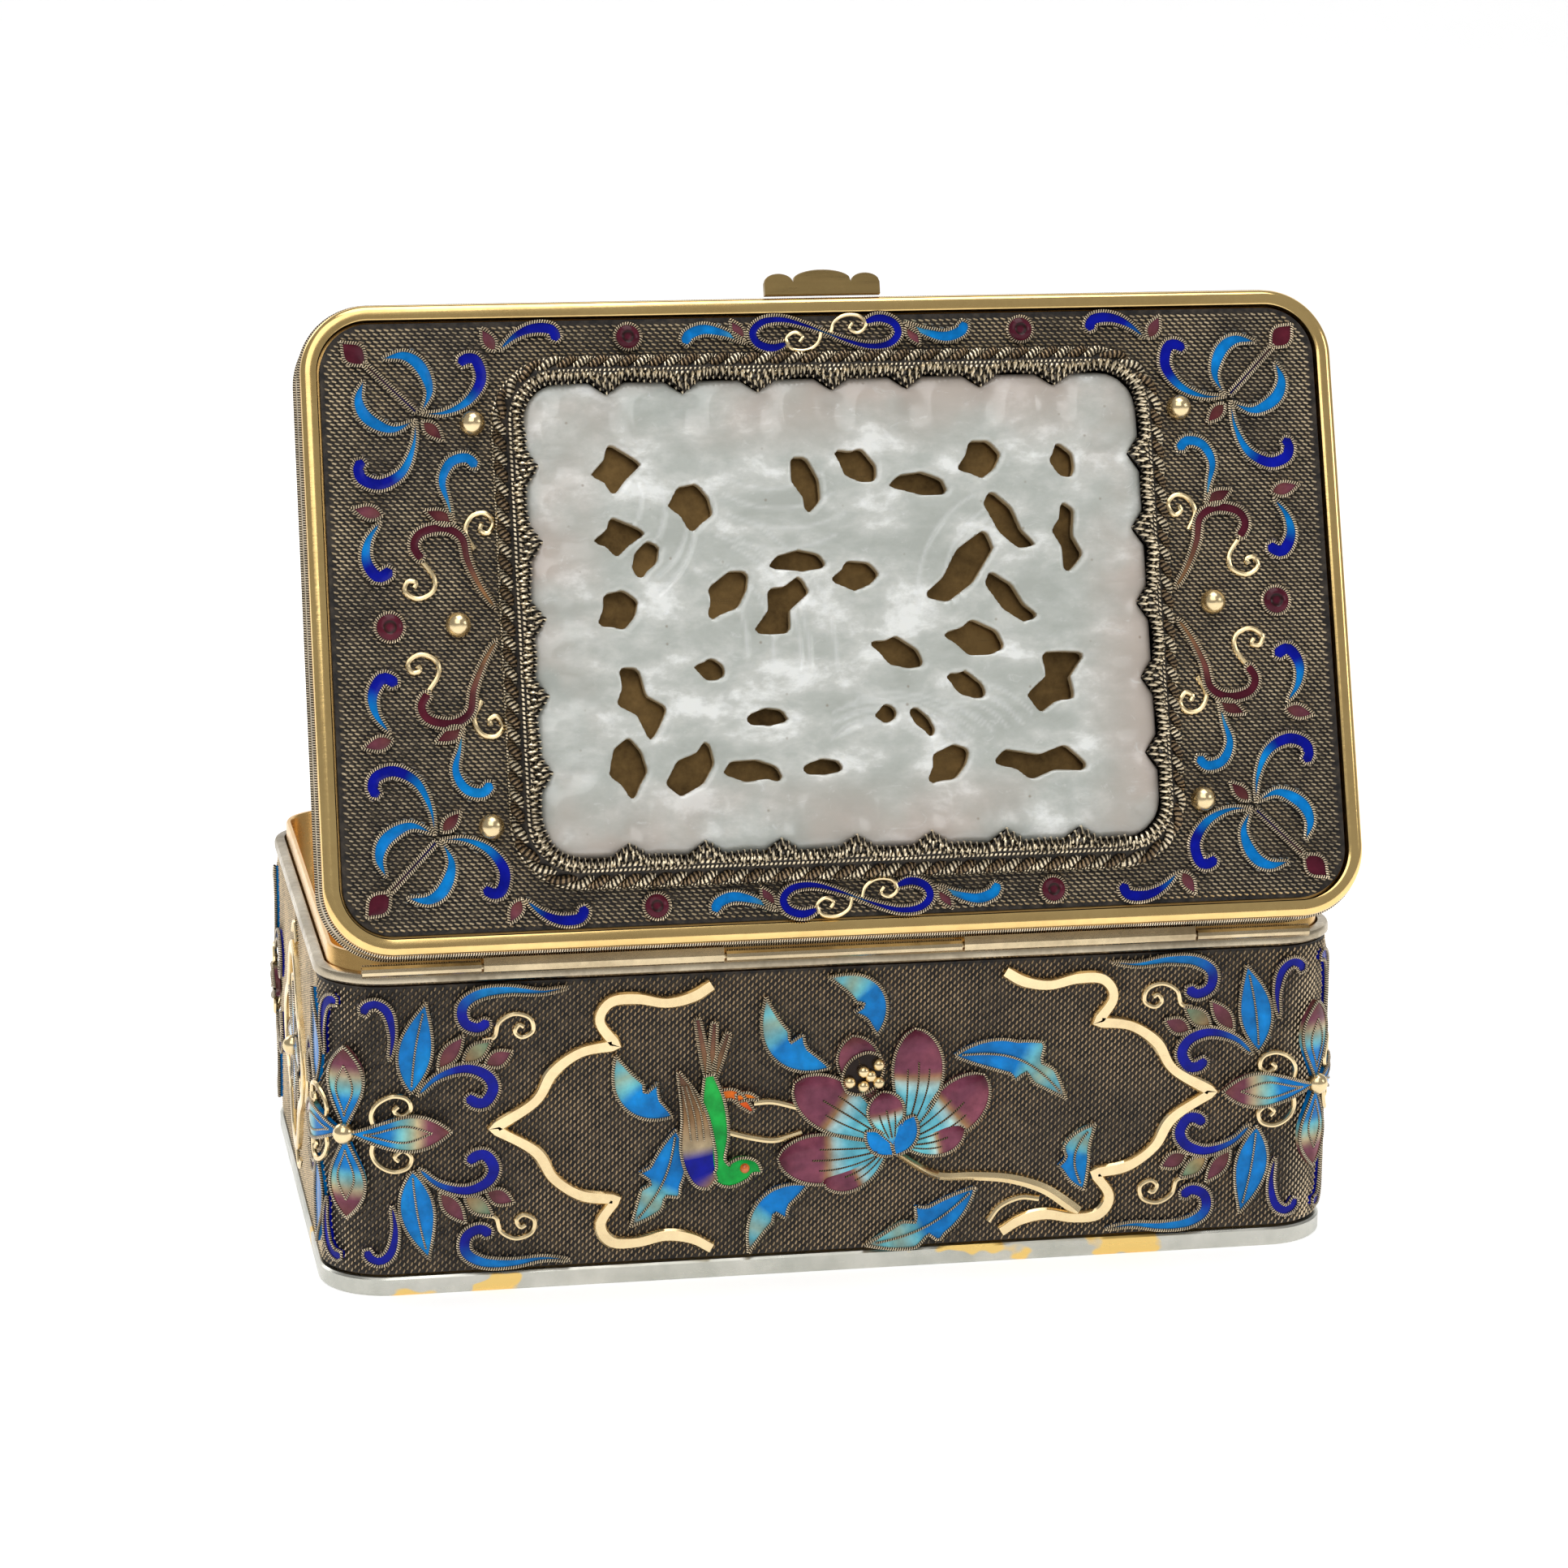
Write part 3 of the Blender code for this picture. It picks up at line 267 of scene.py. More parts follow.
def makeWire(name, pale, dark, turns):
    # Twisted wire: bright strands with near-black grooves of painted shade between them, round the piece's
    # own UV map
    s = Shader(name)
    along = s.node("ShaderNodeUVMap", {"uv_map": "strand"})
    parts = s.node("ShaderNodeSeparateXYZ", {}, [along])
    around = Val(s, parts.socket.node.outputs[1])
    strand = (2 * pi * (parts * turns + around)).sine() * 0.5 + 0.5
    patina = s.noise(420.0, 4.0, 0.65)
    bright = s.mix(s.span(patina, 0.35, 0.7), pale, tuple(c * 0.55 for c in pale))
    # The dark colour in the grooves between the strand stripes is painted shade
    s.set(Base_Color=s.mix(s.span(strand, 0.30, 0.70), dark, bright), Metallic=0.9)
    s.set(Roughness=s.span(patina, 0.3, 0.7, 0.26, 0.5))
    s.bump(strand, 0.9, 0.00012)
    return s.material


def makeWeave(name, pale, dark):
    # Links of fine wire, gilt-pale on their outward ridges as painted highlight and dark towards their tips
    # as painted shade where they meet
    s = Shader(name)
    back = s.given("back", 2)
    cloud = s.noise(95.0, 4.0, 0.6)
    speck = s.noise(1300.0, 2.0, 0.6)
    # The back attribute makes the outward ridge of each link pale as painted highlight and its tips dark as
    # painted shade; the cloud and speck noise add random tone
    share = s.span(cloud * 0.6 + speck * 0.4 + back * 0.7, 0.66, 1.12)
    s.set(Base_Color=s.mix(share, dark, pale), Metallic=0.85, Roughness=s.span(speck, 0.3, 0.7, 0.28, 0.5))
    return s.material


def makeGapShade(name):
    # Near-black sheet between and behind the links, painted shade for the gaps of the weave, flecked with
    # dark brown
    s = Shader(name)
    speck = s.noise(900.0, 4.0, 0.7)
    s.set(Base_Color=s.mix(s.span(speck, 0.4, 0.75), finish["ground"], (0.07, 0.055, 0.04)))
    s.set(Metallic=0.4, Roughness=0.6)
    s.bump(speck, 0.4, 0.00005)
    return s.material


def makeEnamel(name):
    # Fired glass in the colour painted on the mesh, clouded, with a few pits
    s = Shader(name)
    paint = s.given("tint")
    cloud = s.noise(520.0, 4.0, 0.6)
    wash = s.noise(170.0, 3.0, 0.5)
    pits = s.node("ShaderNodeTexVoronoi", {}, {"Vector": s.place(), "Scale": 1500.0})
    shade = s.ramp(cloud, (0.30, (0.66, 0.66, 0.66)), (0.55, (1.0, 1.0, 1.0)), (0.75, (1.25, 1.25, 1.25)))
    colour = s.tinted(paint, shade)
    lit = s.mix(s.span(wash, 0.50, 0.68, 0.0, 0.5), colour, s.tinted(colour, (1.8, 1.8, 1.5)))
    s.set(Base_Color=s.mix(s.span(pits, 0.02, 0.10, 0.5, 0.0), lit, (0.02, 0.015, 0.015)))
    s.set(Roughness=s.span(cloud, 0.3, 0.7, 0.10, 0.24))
    s.set(Coat_Weight=0.06, Coat_Roughness=0.04, Specular_IOR_Level=0.12)
    s.bump(wash + 0.2 * cloud, 0.35, 0.00008)
    return s.material


def makeJade(name):
    # Waxy stone, clouded white on grey-green, warmer towards its edges, honey-coloured on the cut sides
    s = Shader(name)
    cloud = s.noise(170.0, 6.0, 0.60, s.stretched((0.7, 1.2, 1.2)), distortion=0.15)
    warm = s.noise(60.0, 3.0, 0.5)
    fibre = s.noise(330.0, 5.0, 0.72, s.stretched((1.0, 0.5, 1.8)), distortion=1.2)
    stone = s.ramp(cloud, (0.36, (0.43, 0.45, 0.41)), (0.48, (0.50, 0.52, 0.48)),
                   (0.57, (0.60, 0.61, 0.57)), (0.66, (0.84, 0.85, 0.82)))
    stone = s.mix(s.span(warm, 0.42, 0.60, 0.0, 0.75) * s.given("border", 2), stone, (0.52, 0.43, 0.37))
    stone = s.mix(s.span(fibre, 0.60, 0.74, 0.0, 0.55), stone, (0.72, 0.73, 0.71))
    stone = s.mix(s.given("cut", 2) * 0.35, stone, (0.85, 0.86, 0.84))
    speck = s.node("ShaderNodeTexVoronoi", {}, {"Vector": s.place(), "Scale": 300.0})
    stone = s.mix(s.span(speck, 0.02, 0.075, 0.55, 0.0), stone, (0.22, 0.16, 0.10))
    stone = s.mix(s.given("side", 2) * 0.8, stone, (0.42, 0.30, 0.14))
    s.set(Base_Color=stone, Roughness=s.span(cloud, 0.3, 0.7, 0.26, 0.14))
    s.set(Coat_Weight=0.45, Coat_Roughness=0.07, IOR=1.6)
    s.set(Subsurface_Weight=0.22, Subsurface_Radius=(1.0, 0.9, 0.7), Subsurface_Scale=0.0012)
    s.bump(s.noise(190.0, 3.0, 0.5) + 0.2 * fibre, 0.3, 0.00008)
    return s.material


def makePatch(name):
    # Fine blackened mesh behind the notches: rows of tiny loops
    s = Shader(name)
    loops = s.node("ShaderNodeTexVoronoi", {}, {"Vector": s.stretched((1.0, 0.7, 0.7)), "Scale": 2600.0})
    cloud = s.noise(500.0, 3.0, 0.6)
    share = s.span(loops + cloud * 0.5, 0.55, 0.95)
    s.set(Base_Color=s.mix(share, (0.13, 0.115, 0.10), (0.010, 0.009, 0.008)), Metallic=0.8, Roughness=0.4)
    s.bump(loops, 0.8, 0.0001)
    return s.material


gold = makeMetal("polished gold", finish["polishedGold"], 0.13, 0.35, dents=0.00003,
                 tarnish=(0.42, 0.24, 0.07))
paleGold = makeMetal("pale gold", finish["paleGold"], 0.22, 0.35, tarnish=(0.40, 0.25, 0.11))
insideGold = makeMetal("inside gilding", finish["insideGold"], 0.20, 0.25, tarnish=(0.50, 0.20, 0.03))
silverBand = makeGilded("base band silver")
rimSilver = makeMetal("rim silver", (0.56, 0.48, 0.35), 0.28, 0.8, tarnish=(0.13, 0.10, 0.06))
sideBrass = makeMetal("lid side brass", (0.44, 0.33, 0.17), 0.32, 0.9, tarnish=(0.07, 0.05, 0.025))
underJade = makeMetal("brass under the jade", (0.26, 0.16, 0.06), 0.36, 0.95, tarnish=(0.04, 0.025, 0.012))
hingeSilver = makeMetal("hinge silver", (0.74, 0.60, 0.38), 0.24, 0.6, tarnish=(0.20, 0.14, 0.08))
brass = makeMetal("old brass", finish["brass"], 0.33, 0.7, tarnish=(0.16, 0.10, 0.04))
# The second colour of each wire is near-black painted shade for the grooves of its twist
fineWire = makeWire("fine twisted wire", (1.0, 0.84, 0.60), (0.020, 0.015, 0.012), 1.0)
darkWire = makeWire("sunken rib wire", (0.34, 0.24, 0.14), (0.020, 0.015, 0.012), 1.0)
boldWire = makeWire("bezel wire", (1.0, 0.85, 0.60), (0.022, 0.018, 0.015), 1.0)
wallWeave = makeWeave("wall weave", (1.0, 0.80, 0.54), (0.040, 0.034, 0.030))
lidWeave = makeWeave("lid weave", (1.0, 0.86, 0.63), (0.085, 0.070, 0.056))
ground = makeGapShade("blackened ground")
enamel = makeEnamel("enamel")
jadeStone = makeJade("jade")
meshPatch = makePatch("blackened mesh")
pieceMaterials = [enamel, fineWire, paleGold]
wireMaterials = [enamel, fineWire, paleGold, fineWire]
print("finishes made")


class Batch:
    # Gathers the faces of one piece; every surface is rows of points across a path

    def __init__(self):
        self.points, self.quads, self.uvs, self.tints, self.slots, self.count = [], [], [], [], [], 0

    def add(self, rows, slot=0, tint=(0.5, 0.5, 0.5), around=True, closed=False, capped=True, along=None):
        count, width = rows.shape[:2]
        index = self.count + np.arange(count * width).reshape(count, width)
        if closed:
            index = np.vstack([index, index[:1]])
        if around:
            index = np.hstack([index, index[:, :1]])
        quads = np.stack([index[:-1, :-1], index[:-1, 1:], index[1:, 1:], index[1:, :-1]], -1).reshape(-1, 4)
        u = np.arange(index.shape[0]) * 1.0 if along is None else along
        v = np.arange(index.shape[1]) / (index.shape[1] - 1)
        u, v = np.broadcast_arrays(u[:, None], v[None, :])
        uv = np.stack([u, v], -1)
        uvs = np.stack([uv[:-1, :-1], uv[:-1, 1:], uv[1:, 1:], uv[1:, :-1]], 2).reshape(-1, 2)
        if around and capped and not closed:
            half = np.arange(width // 2 - 1)
            for end in (index[0, :width], index[-1, :width]):
                cap = np.stack([end[half], end[half + 1], end[width - 2 - half], end[width - 1 - half]], -1)
                quads = np.vstack([quads, cap])
                uvs = np.vstack([uvs, np.zeros((len(cap) * 4, 2))])
        tints = np.ones((count, width, 4))
        tint = np.asarray(tint)
        tints[..., :3] = tint if tint.ndim == 3 else tint.reshape(-1, 1, 3)
        self.points.append(rows.reshape(-1, 3))
        self.quads.append(quads)
        self.uvs.append(uvs)
        self.tints.append(tints.reshape(-1, 4))
        self.slots.append(np.full(len(quads), slot))
        self.count += count * width

    def build(self, name, materials, body, slot, nodes=(), matrix=None, smooth=True):
        points, quads = np.vstack(self.points), np.vstack(self.quads)
        mesh = bpy.data.meshes.new(name)
        mesh.vertices.add(len(points))
        mesh.vertices.foreach_set("co", points.ravel())
        mesh.loops.add(quads.size)
        mesh.loops.foreach_set("vertex_index", quads.ravel())
        mesh.polygons.add(len(quads))
        mesh.polygons.foreach_set("loop_start", np.arange(len(quads)) * 4)
        mesh.polygons.foreach_set("material_index", np.concatenate(self.slots))
        mesh.update(calc_edges=True)
        mesh.uv_layers.new(name="strand").data.foreach_set("uv", np.vstack(self.uvs).ravel())
        tint = mesh.attributes.new("tint", "FLOAT_COLOR", "POINT")
        tint.data.foreach_set("color", np.vstack(self.tints).ravel())
        return dress(name, mesh, materials, body, nodes, matrix, smooth)


def dress(name, mesh, materials, body, nodes=(), matrix=None, smooth=True):
    # Turns a mesh into a finished piece that rides on its body
    if matrix:
        mesh.transform(matrix)
    for material in materials:
        mesh.materials.append(material)
    shape = bmesh.new()
    shape.from_mesh(mesh)
    bmesh.ops.remove_doubles(shape, verts=shape.verts, dist=1e-8)
    bmesh.ops.recalc_face_normals(shape, faces=shape.faces)
    shape.to_mesh(mesh)
    shape.free()
    if smooth:
        mesh.shade_smooth()
        mesh.set_sharp_from_angle(angle=radians(42))
    piece = bpy.data.objects.new(name, mesh)
    bpy.context.scene.collection.objects.link(piece)
    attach(piece, body)
    if nodes:
        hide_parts(*nodes)
    return piece


def roundedRing(length, depth, radius, steps=16):
    # Points and outward directions of a rounded rectangle, counter-clockwise
    points, outward = [], []
    for index, (sideX, sideY) in enumerate(((1, -1), (1, 1), (-1, 1), (-1, -1))):
        angle = pi / 2 * (index - 1 + np.arange(steps + 1) / steps)
        direction = np.stack([np.cos(angle), np.sin(angle)], -1)
        points.append(direction * radius + (sideX * (length / 2 - radius), sideY * (depth / 2 - radius)))
        outward.append(direction)
    return np.vstack(points), np.vstack(outward)


def ringRows(length, depth, radius, profile, steps=16):
    # Profile points (inset, z) carried round a rounded rectangle
    points, outward = roundedRing(length, depth, radius, steps)
    rows = []
    for inset, z in profile:
        place = points - outward * inset
        rows.append(np.column_stack([place, np.full(len(place), z)]))
    return np.stack(rows, 1)


def smooth(points, step=0.45 * mm):
    # A smooth line through points of any width, its stations a step apart
    points = np.asarray(points, float)
    ends = np.vstack([2 * points[0] - points[1], points, 2 * points[-1] - points[-2]])
    line = []
    t = np.arange(12)[:, None] / 12
    for a, b, c, d in zip(ends, ends[1:], ends[2:], ends[3:]):
        line.append(0.5 * (2 * b + (c - a) * t + (2 * a - 5 * b + 4 * c - d) * t ** 2
                           + (3 * b - a - 3 * c + d) * t ** 3))
    line = np.vstack(line + [points[-1:]])
    run = np.concatenate([[0], np.cumsum(np.hypot(*np.diff(line[:, :2], axis=0).T))])
    stations = np.linspace(0, run[-1], max(4, int(run[-1] / step) + 1))
    return np.stack([np.interp(stations, run, column) for column in line.T], -1), run[-1]


def sideways(line, closed=False):
    # Unit directions across a flat line
    if closed:
        run = np.roll(line, -1, 0) - np.roll(line, 1, 0)
    else:
        run = np.gradient(line, axis=0)
    run = run[:, :2] / np.maximum(np.hypot(run[:, 0], run[:, 1]), 1e-9)[:, None]
    return np.stack([-run[:, 1], run[:, 0]], -1)


def sweep(sheet, line, widths, section, low):
    # Rows of a section (across in half widths, up) along a flat line on a sheet
    across = sideways(line)
    section = np.asarray(section)
    shift = widths[:, None] / 2 * section[None, :, 0] if widths.ndim == 1 else \
        np.where(section[None, :, 0] > 0, widths[:, :1], widths[:, 1:]) * section[None, :, 0]
    u = line[:, 0, None] + across[:, 0, None] * shift
    v = line[:, 1, None] + across[:, 1, None] * shift
    lift = np.broadcast_to(low + section[None, :, 1], u.shape)
    return sheet(u, v, lift)


def tube(points, reference, radius, sides=6, closed=False):
    # Rows of a round tube along points in space; reference is any direction across it
    if closed:
        run = np.roll(points, -1, 0) - np.roll(points, 1, 0)
    else:
        run = np.gradient(points, axis=0)
    run /= np.maximum(np.linalg.norm(run, axis=1), 1e-12)[:, None]
    first = reference - run * (reference * run).sum(1)[:, None]
    first /= np.maximum(np.linalg.norm(first, axis=1), 1e-12)[:, None]
    second = np.cross(run, first)
    angle = 2 * pi * np.arange(sides) / sides
    radius = np.broadcast_to(radius, len(points))[:, None, None]
    around = first[:, None] * np.cos(angle)[None, :, None] + second[:, None] * np.sin(angle)[None, :, None]
    return points[:, None] + radius * around


def onSheet(sheet, line, lift):
    # Points of a flat line on a sheet, and the sheet's own up direction there
    lift = np.broadcast_to(lift, len(line))
    points = sheet(line[:, 0], line[:, 1], lift)
    return points, sheet(line[:, 0], line[:, 1], lift + mm) - points


def rampColour(stops, t):
    # Colours along a leaf from stops (share, hue name)
    places = [place for place, name in stops]
    colours = np.array([hue[name] for place, name in stops])
    return np.stack([np.interp(t, places, colours[:, k]) for k in range(3)], -1)


wallRuns = np.array([sideRun, cornerRun, 2 * endRun, cornerRun, 2 * sideRun,
                     cornerRun, 2 * endRun, cornerRun, sideRun])
wallStarts = np.concatenate([[0], np.cumsum(wallRuns)])


def wallPoint(s, z, lift):
    # Places on the woven wall, s from the middle of the hinge side towards +X and on round the box
    s, z, lift = np.broadcast_arrays(s, z, lift)
    s = np.mod(s, 2 * halfRound)
    part = np.clip(np.searchsorted(wallStarts, s, side="right") - 1, 0, 8)
    t = s - wallStarts[part]
    quarter = part // 2
    heading = quarter * pi / 2
    bend = (part % 2 == 1)
    middle = np.array([[0, -1], [1, 0], [0, 1], [-1, 0], [0, -1]], float)
    halfX, halfY = boxLength / 2 - box["cornerRadius"], boxDepth / 2 - box["cornerRadius"]
    centres = np.array([[halfX, -halfY], [halfX, halfY], [-halfX, halfY], [-halfX, -halfY], [0, 0]])
    angle = heading + np.where(bend, t / wallRadius, 0.0)
    outward = np.stack([np.sin(angle), -np.cos(angle)], -1)
    curved = centres[quarter] + outward * (wallRadius + lift)[..., None]
    forward = np.stack([np.cos(heading), np.sin(heading)], -1)
    begin = np.array([[0, -halfY], [halfX, -halfY], [halfX, halfY], [-halfX, halfY], [-halfX, -halfY]])
    straight = begin[quarter] + forward * t[..., None] + outward * (wallRadius + lift)[..., None]
    flat = np.where(bend[..., None], curved, straight)
    return np.concatenate([flat, z[..., None]], -1)


def wallSheet(centre, direction=1):
    return lambda u, v, lift: wallPoint(centre + direction * u, wallMiddle + v, lift)


def lidSheet(cornerX, cornerY, directionX, directionY, top=fieldTop):
    # A drawing sheet on the closed lid
    def place(u, v, lift):
        u, v, lift = np.broadcast_arrays(u, v, lift)
        return np.stack([cornerX + directionX * u, cornerY + directionY * v, top + lift], -1)
    return place


cell = {"wireRadius": 0.22 * mm, "height": 0.62 * mm, "pitch": 0.30 * mm}
cellSection = [(-1, -0.1 * mm), (-1, 0.92), (-0.6, 0.86), (0, 0.82), (0.6, 0.86), (1, 0.92), (1, -0.1 * mm),
               (0, -0.1 * mm)]


def addCell(batch, sheet, line, colours, low=0.0, high=None, puff=0.0):
    # Enamel between wires along a line of (u, v, width); puff raises the middle of broad petals
    high = cell["height"] if high is None else high
    widths = np.maximum(line[:, 2:], 0.03 * mm) if line.shape[1] == 4 else np.maximum(line[:, 2], 0.06 * mm)
    t = np.linspace(0, 1, len(line))
    section = [(q, rise if rise < 0 else rise * high + puff * (1 - q * q)) for q, rise in cellSection]
    batch.add(sweep(sheet, line, widths, section, low), 0, rampColour(colours, t))
    across = sideways(line)
    halves = widths if widths.ndim == 2 else np.stack([widths / 2, widths / 2], -1)
    left = line[:, :2] + across * halves[:, :1]
    right = line[:, :2] - across * halves[:, 1:]
    addWire(batch, sheet, np.vstack([left, right[::-1]]), low + high, closed=True)


def addWire(batch, sheet, line, lift, radius=None, closed=False, slot=1, sides=6):
    # Twisted wire along a flat line on a sheet
    radius = radius or cell["wireRadius"]
    keep = np.concatenate([[True], np.hypot(*np.diff(line[:, :2], axis=0).T) > 0.05 * mm])
    line = line[keep]
    points, up = onSheet(sheet, line, lift)
    step = np.linalg.norm(np.diff(points, axis=0), axis=1)
    run = np.concatenate([[0], np.cumsum(step)])
    if closed:
        run = np.append(run, run[-1] + np.linalg.norm(points[0] - points[-1]))
    batch.add(tube(points, up, radius, sides, closed), slot, closed=closed, along=run / cell["pitch"])


def leafLine(base, tip, width, bend=0.0, full=0.8, blunt=1.0, units=(sideUnit, riseUnit)):
    # A leaf or petal from base to tip; blunt under 1 rounds its ends
    base, tip = np.array(base) * units, np.array(tip) * units
    t = np.linspace(0, 1, 9)[:, None]
    side = np.array([-(tip - base)[1], (tip - base)[0]])
    middle = base + (tip - base) * t + side * bend * np.sin(pi * t)
    line, length = smooth(middle)
    t = np.linspace(0, 1, len(line))
    swell = np.sin(pi * t ** full).clip(0) ** blunt * width * mm
    return np.column_stack([line, swell])


def scrollLine(points, narrow, wide, units=(sideUnit, riseUnit), tail=0.25):
    # A scroll: thin tail, swelling to a round head
    line, length = smooth(np.array(points) * units)
    t = np.linspace(0, 1, len(line))
    width = (narrow + (wide - narrow) * np.sin(pi / 2 * np.minimum(t / 0.75, 1)) ** 1.3) * mm
    head = np.clip((length * (1 - t)) / (wide * mm / 2), 0, 1)
    foot = np.clip(length * t / (narrow * mm + tail * mm), 0, 1)
    width *= np.sqrt(1 - (1 - head) ** 2) * foot ** 0.6
    return np.column_stack([line, width])


def addCurl(batch, sheet, points, units=(sideUnit, riseUnit), radius=0.33 * mm, slot=2, lift=0.3 * mm):
    # A plain gilt wire that curls up at its end
    line, length = smooth(np.array(points) * units, 0.25 * mm)
    place, up = onSheet(sheet, line, lift)
    batch.add(tube(place, up, radius, 8), slot)


def addBall(batch, centre, radius, slot=2, rings=9, sides=14):
    # A round bead
    angle = np.linspace(0.04, pi - 0.04, rings)
    turn = 2 * pi * np.arange(sides) / sides
    rows = np.stack([np.sin(angle)[:, None] * np.cos(turn), np.sin(angle)[:, None] * np.sin(turn),
                     np.broadcast_to(np.cos(angle)[:, None], (rings, sides))], -1)
    batch.add(centre + rows * radius, slot)


def addDisc(batch, sheet, u, v, radius, colour="maroon"):
    # A round cell with a dark eye and a wire rim
    turn = 2 * pi * np.arange(20) / 20
    rows = []
    dome = ((1, -0.1), (1, 0.50), (0.8, 0.86), (0.52, 1.02), (0.40, 0.88), (0.15, 0.82), (0.02, 0.82))
    for share, lift in dome:
        rows.append(sheet(u + radius * share * np.cos(turn), v + radius * share * np.sin(turn), lift * mm))
    tint = np.repeat([hue[colour]] * 4 + [hue["pod"]] + [hue[colour]] * 2, len(turn), 0)
    batch.add(np.stack(rows), 0, tint.reshape(len(rows), len(turn), 3))
    circle = np.stack([u + radius * np.cos(turn), v + radius * np.sin(turn)], -1)
    addWire(batch, sheet, circle, 0.6 * mm, closed=True)


def plain(name):
    # One colour from end to end
    return [(0, name), (1, name)]


def mirrored(side):
    # Turns a drawing over, across its own first axis, where side is -1
    return lambda point: (point[0], side * point[1])


class Drawing:
    # Enamel cells and curls on one sheet, in the sheet's own units; turn moves every point first

    def __init__(self, batch, sheet, units=(sideUnit, riseUnit), turn=mirrored(1)):
        self.batch, self.sheet, self.units, self.turn = batch, sheet, units, turn

    def leaf(self, base, tip, width, paint, bend=0.0, full=0.8, blunt=1.0, **rise):
        line = leafLine(self.turn(base), self.turn(tip), width, bend, full, blunt, self.units)
        addCell(self.batch, self.sheet, line, paint, **rise)
        return line

    def scroll(self, points, narrow, wide, paint, **rise):
        line = scrollLine([self.turn(point) for point in points], narrow, wide, self.units)
        addCell(self.batch, self.sheet, line, paint, **rise)

    def curl(self, points, radius=0.33 * mm, slot=2, lift=0.3 * mm):
        places = [self.turn(point) for point in points]
        addCurl(self.batch, self.sheet, places, self.units, radius, slot, lift)


bladeLeaf = [(0, "sky"), (0.50, "sky"), (0.58, "pale"), (0.72, "sage"), (0.85, "pale"), (1, "tan")]
navyScroll = [(0, "sky"), (0.35, "navy"), (1, "navy")]
swoosh = [(0, "sky"), (0.55, "sky"), (0.75, "navy"), (1, "navy")]
flowerPetal = [(0, "sky"), (0.38, "sky"), (0.47, "pale"), (0.58, "sage"), (0.66, "cream"), (0.76, "plum"),
               (1, "brown")]
lotusPetal = [(0, "sky"), (0.16, "pale"), (0.40, "pale"), (0.50, "white"), (0.56, "tan"), (0.62, "plum"),
              (0.84, "plum"), (1, "maroon")]
lotusBud = [(0, "umber"), (0.35, "plum"), (0.8, "plum"), (1, "brown")]
plumBud = [(0, "brown"), (1, "plum")]
redBud = [(0, "brown"), (1, "maroon")]
greenBud = [(0, "tan"), (1, "leafGreen")]

weave = {"columnPitch": 0.465 * mm, "rowPitch": 0.85 * mm, "wallLength": 0.80 * mm, "wallRadius": 0.115 * mm,
         "lidLength": 1.0 * mm, "lidRadius": 0.135 * mm, "wallLean": 67.0, "lidLean": -17.0,
         "underBezel": 3.2 * mm}


def makeLink(name, lean, length, radius, rings=(-0.2, 0.22)):
    # One loop of the knitted wire as it shows from outside: X along the sheet, Z up it, -Y outwards
    direction = Vector((cos(radians(lean)), 0, sin(radians(lean))))
    across = Vector((-direction.z, 0, direction.x))
    outward = Vector((0, -1, 0))
    bulge = -0.09 * length
    points = [direction * (-0.5 * length) - outward * radius, direction * (0.5 * length) - outward * radius]
    for share in rings:
        centre = direction * (share * length) + across * bulge + outward * (0.5 * radius)
        points += [centre - across * radius - outward * (0.5 * radius), centre + outward * radius,
                   centre + across * radius - outward * (0.5 * radius)]
    faces = []
    last = len(points) - 3
    for side in range(3):
        following = (side + 1) % 3
        faces += [(0, 2 + side, 2 + following), (1, last + following, last + side)]
        if last > 2:
            faces.append((2 + side, last + side, last + following, 2 + following))
    mesh = bpy.data.meshes.new(name)
    mesh.from_pydata(points, [], faces)
    # back is 1 on each link's outward ridge, 0.35 on its flanks and 0 at its tips: painted highlight on the
    # ridge, painted shade at the tips
    back = mesh.attributes.new("back", "FLOAT", "POINT")
    back.data.foreach_set("value", [0, 0] + [0.35, 1, 0.35] * len(rings))
    mesh.shade_smooth()
    link = bpy.data.objects.new(name, mesh)
    bpy.context.scene.collection.objects.link(link)
    return link


class Tree:
    # A Geometry Nodes tree with named inputs

    def __init__(self, name, inputs):
        self.group = bpy.data.node_groups.new(name, "GeometryNodeTree")
        newSocket = self.group.interface.new_socket
        newSocket("Geometry", in_out="INPUT", socket_type="NodeSocketGeometry")
        self.ids = {}
        for label, kind in inputs.items():
            self.ids[label] = newSocket(label, in_out="INPUT", socket_type="NodeSocket" + kind).identifier
        newSocket("Geometry", in_out="OUTPUT", socket_type="NodeSocketGeometry")
        self.start = self.group.nodes.new("NodeGroupInput")
        self.end = self.group.nodes.new("NodeGroupOutput")

    def node(self, kind, settings=None, values=None, output=0):
        made = self.group.nodes.new(kind)
        for name, value in (settings or {}).items():
            setattr(made, name, value)
        for name, value in (values or {}).items():
            if isinstance(value, bpy.types.NodeSocket):
                self.group.links.new(value, made.inputs[name])
            else:
                made.inputs[name].default_value = value
        return made.outputs[output]

    def maths(self, operation, first, second=0.0):
        return self.node("ShaderNodeMath", {"operation": operation}, {0: first, 1: second})

    def given(self, label):
        return self.start.outputs[label]

    def place(self, axis):
        return self.node("ShaderNodeSeparateXYZ", {}, {0: self.node("GeometryNodeInputPosition")}, axis)

    def finish(self, geometry):
        solid = self.node("GeometryNodeRealizeInstances", {}, {"Geometry": geometry})
        values = {"Geometry": solid, "Material": self.given("Material")}
        painted = self.node("GeometryNodeSetMaterial", {}, values)
        self.group.links.new(painted, self.end.inputs[0])

    def run(self, carrier, values):
        # Evaluates the tree on a carrier object and returns a plain mesh
        modifier = carrier.modifiers.new(self.group.name, "NODES")
        modifier.node_group = self.group
        for label, value in values.items():
            modifier[self.ids[label]] = value
        carrier.update_tag()
        mesh = bpy.data.meshes.new_from_object(carrier.evaluated_get(bpy.context.evaluated_depsgraph_get()))
        bpy.data.objects.remove(carrier)
        return mesh


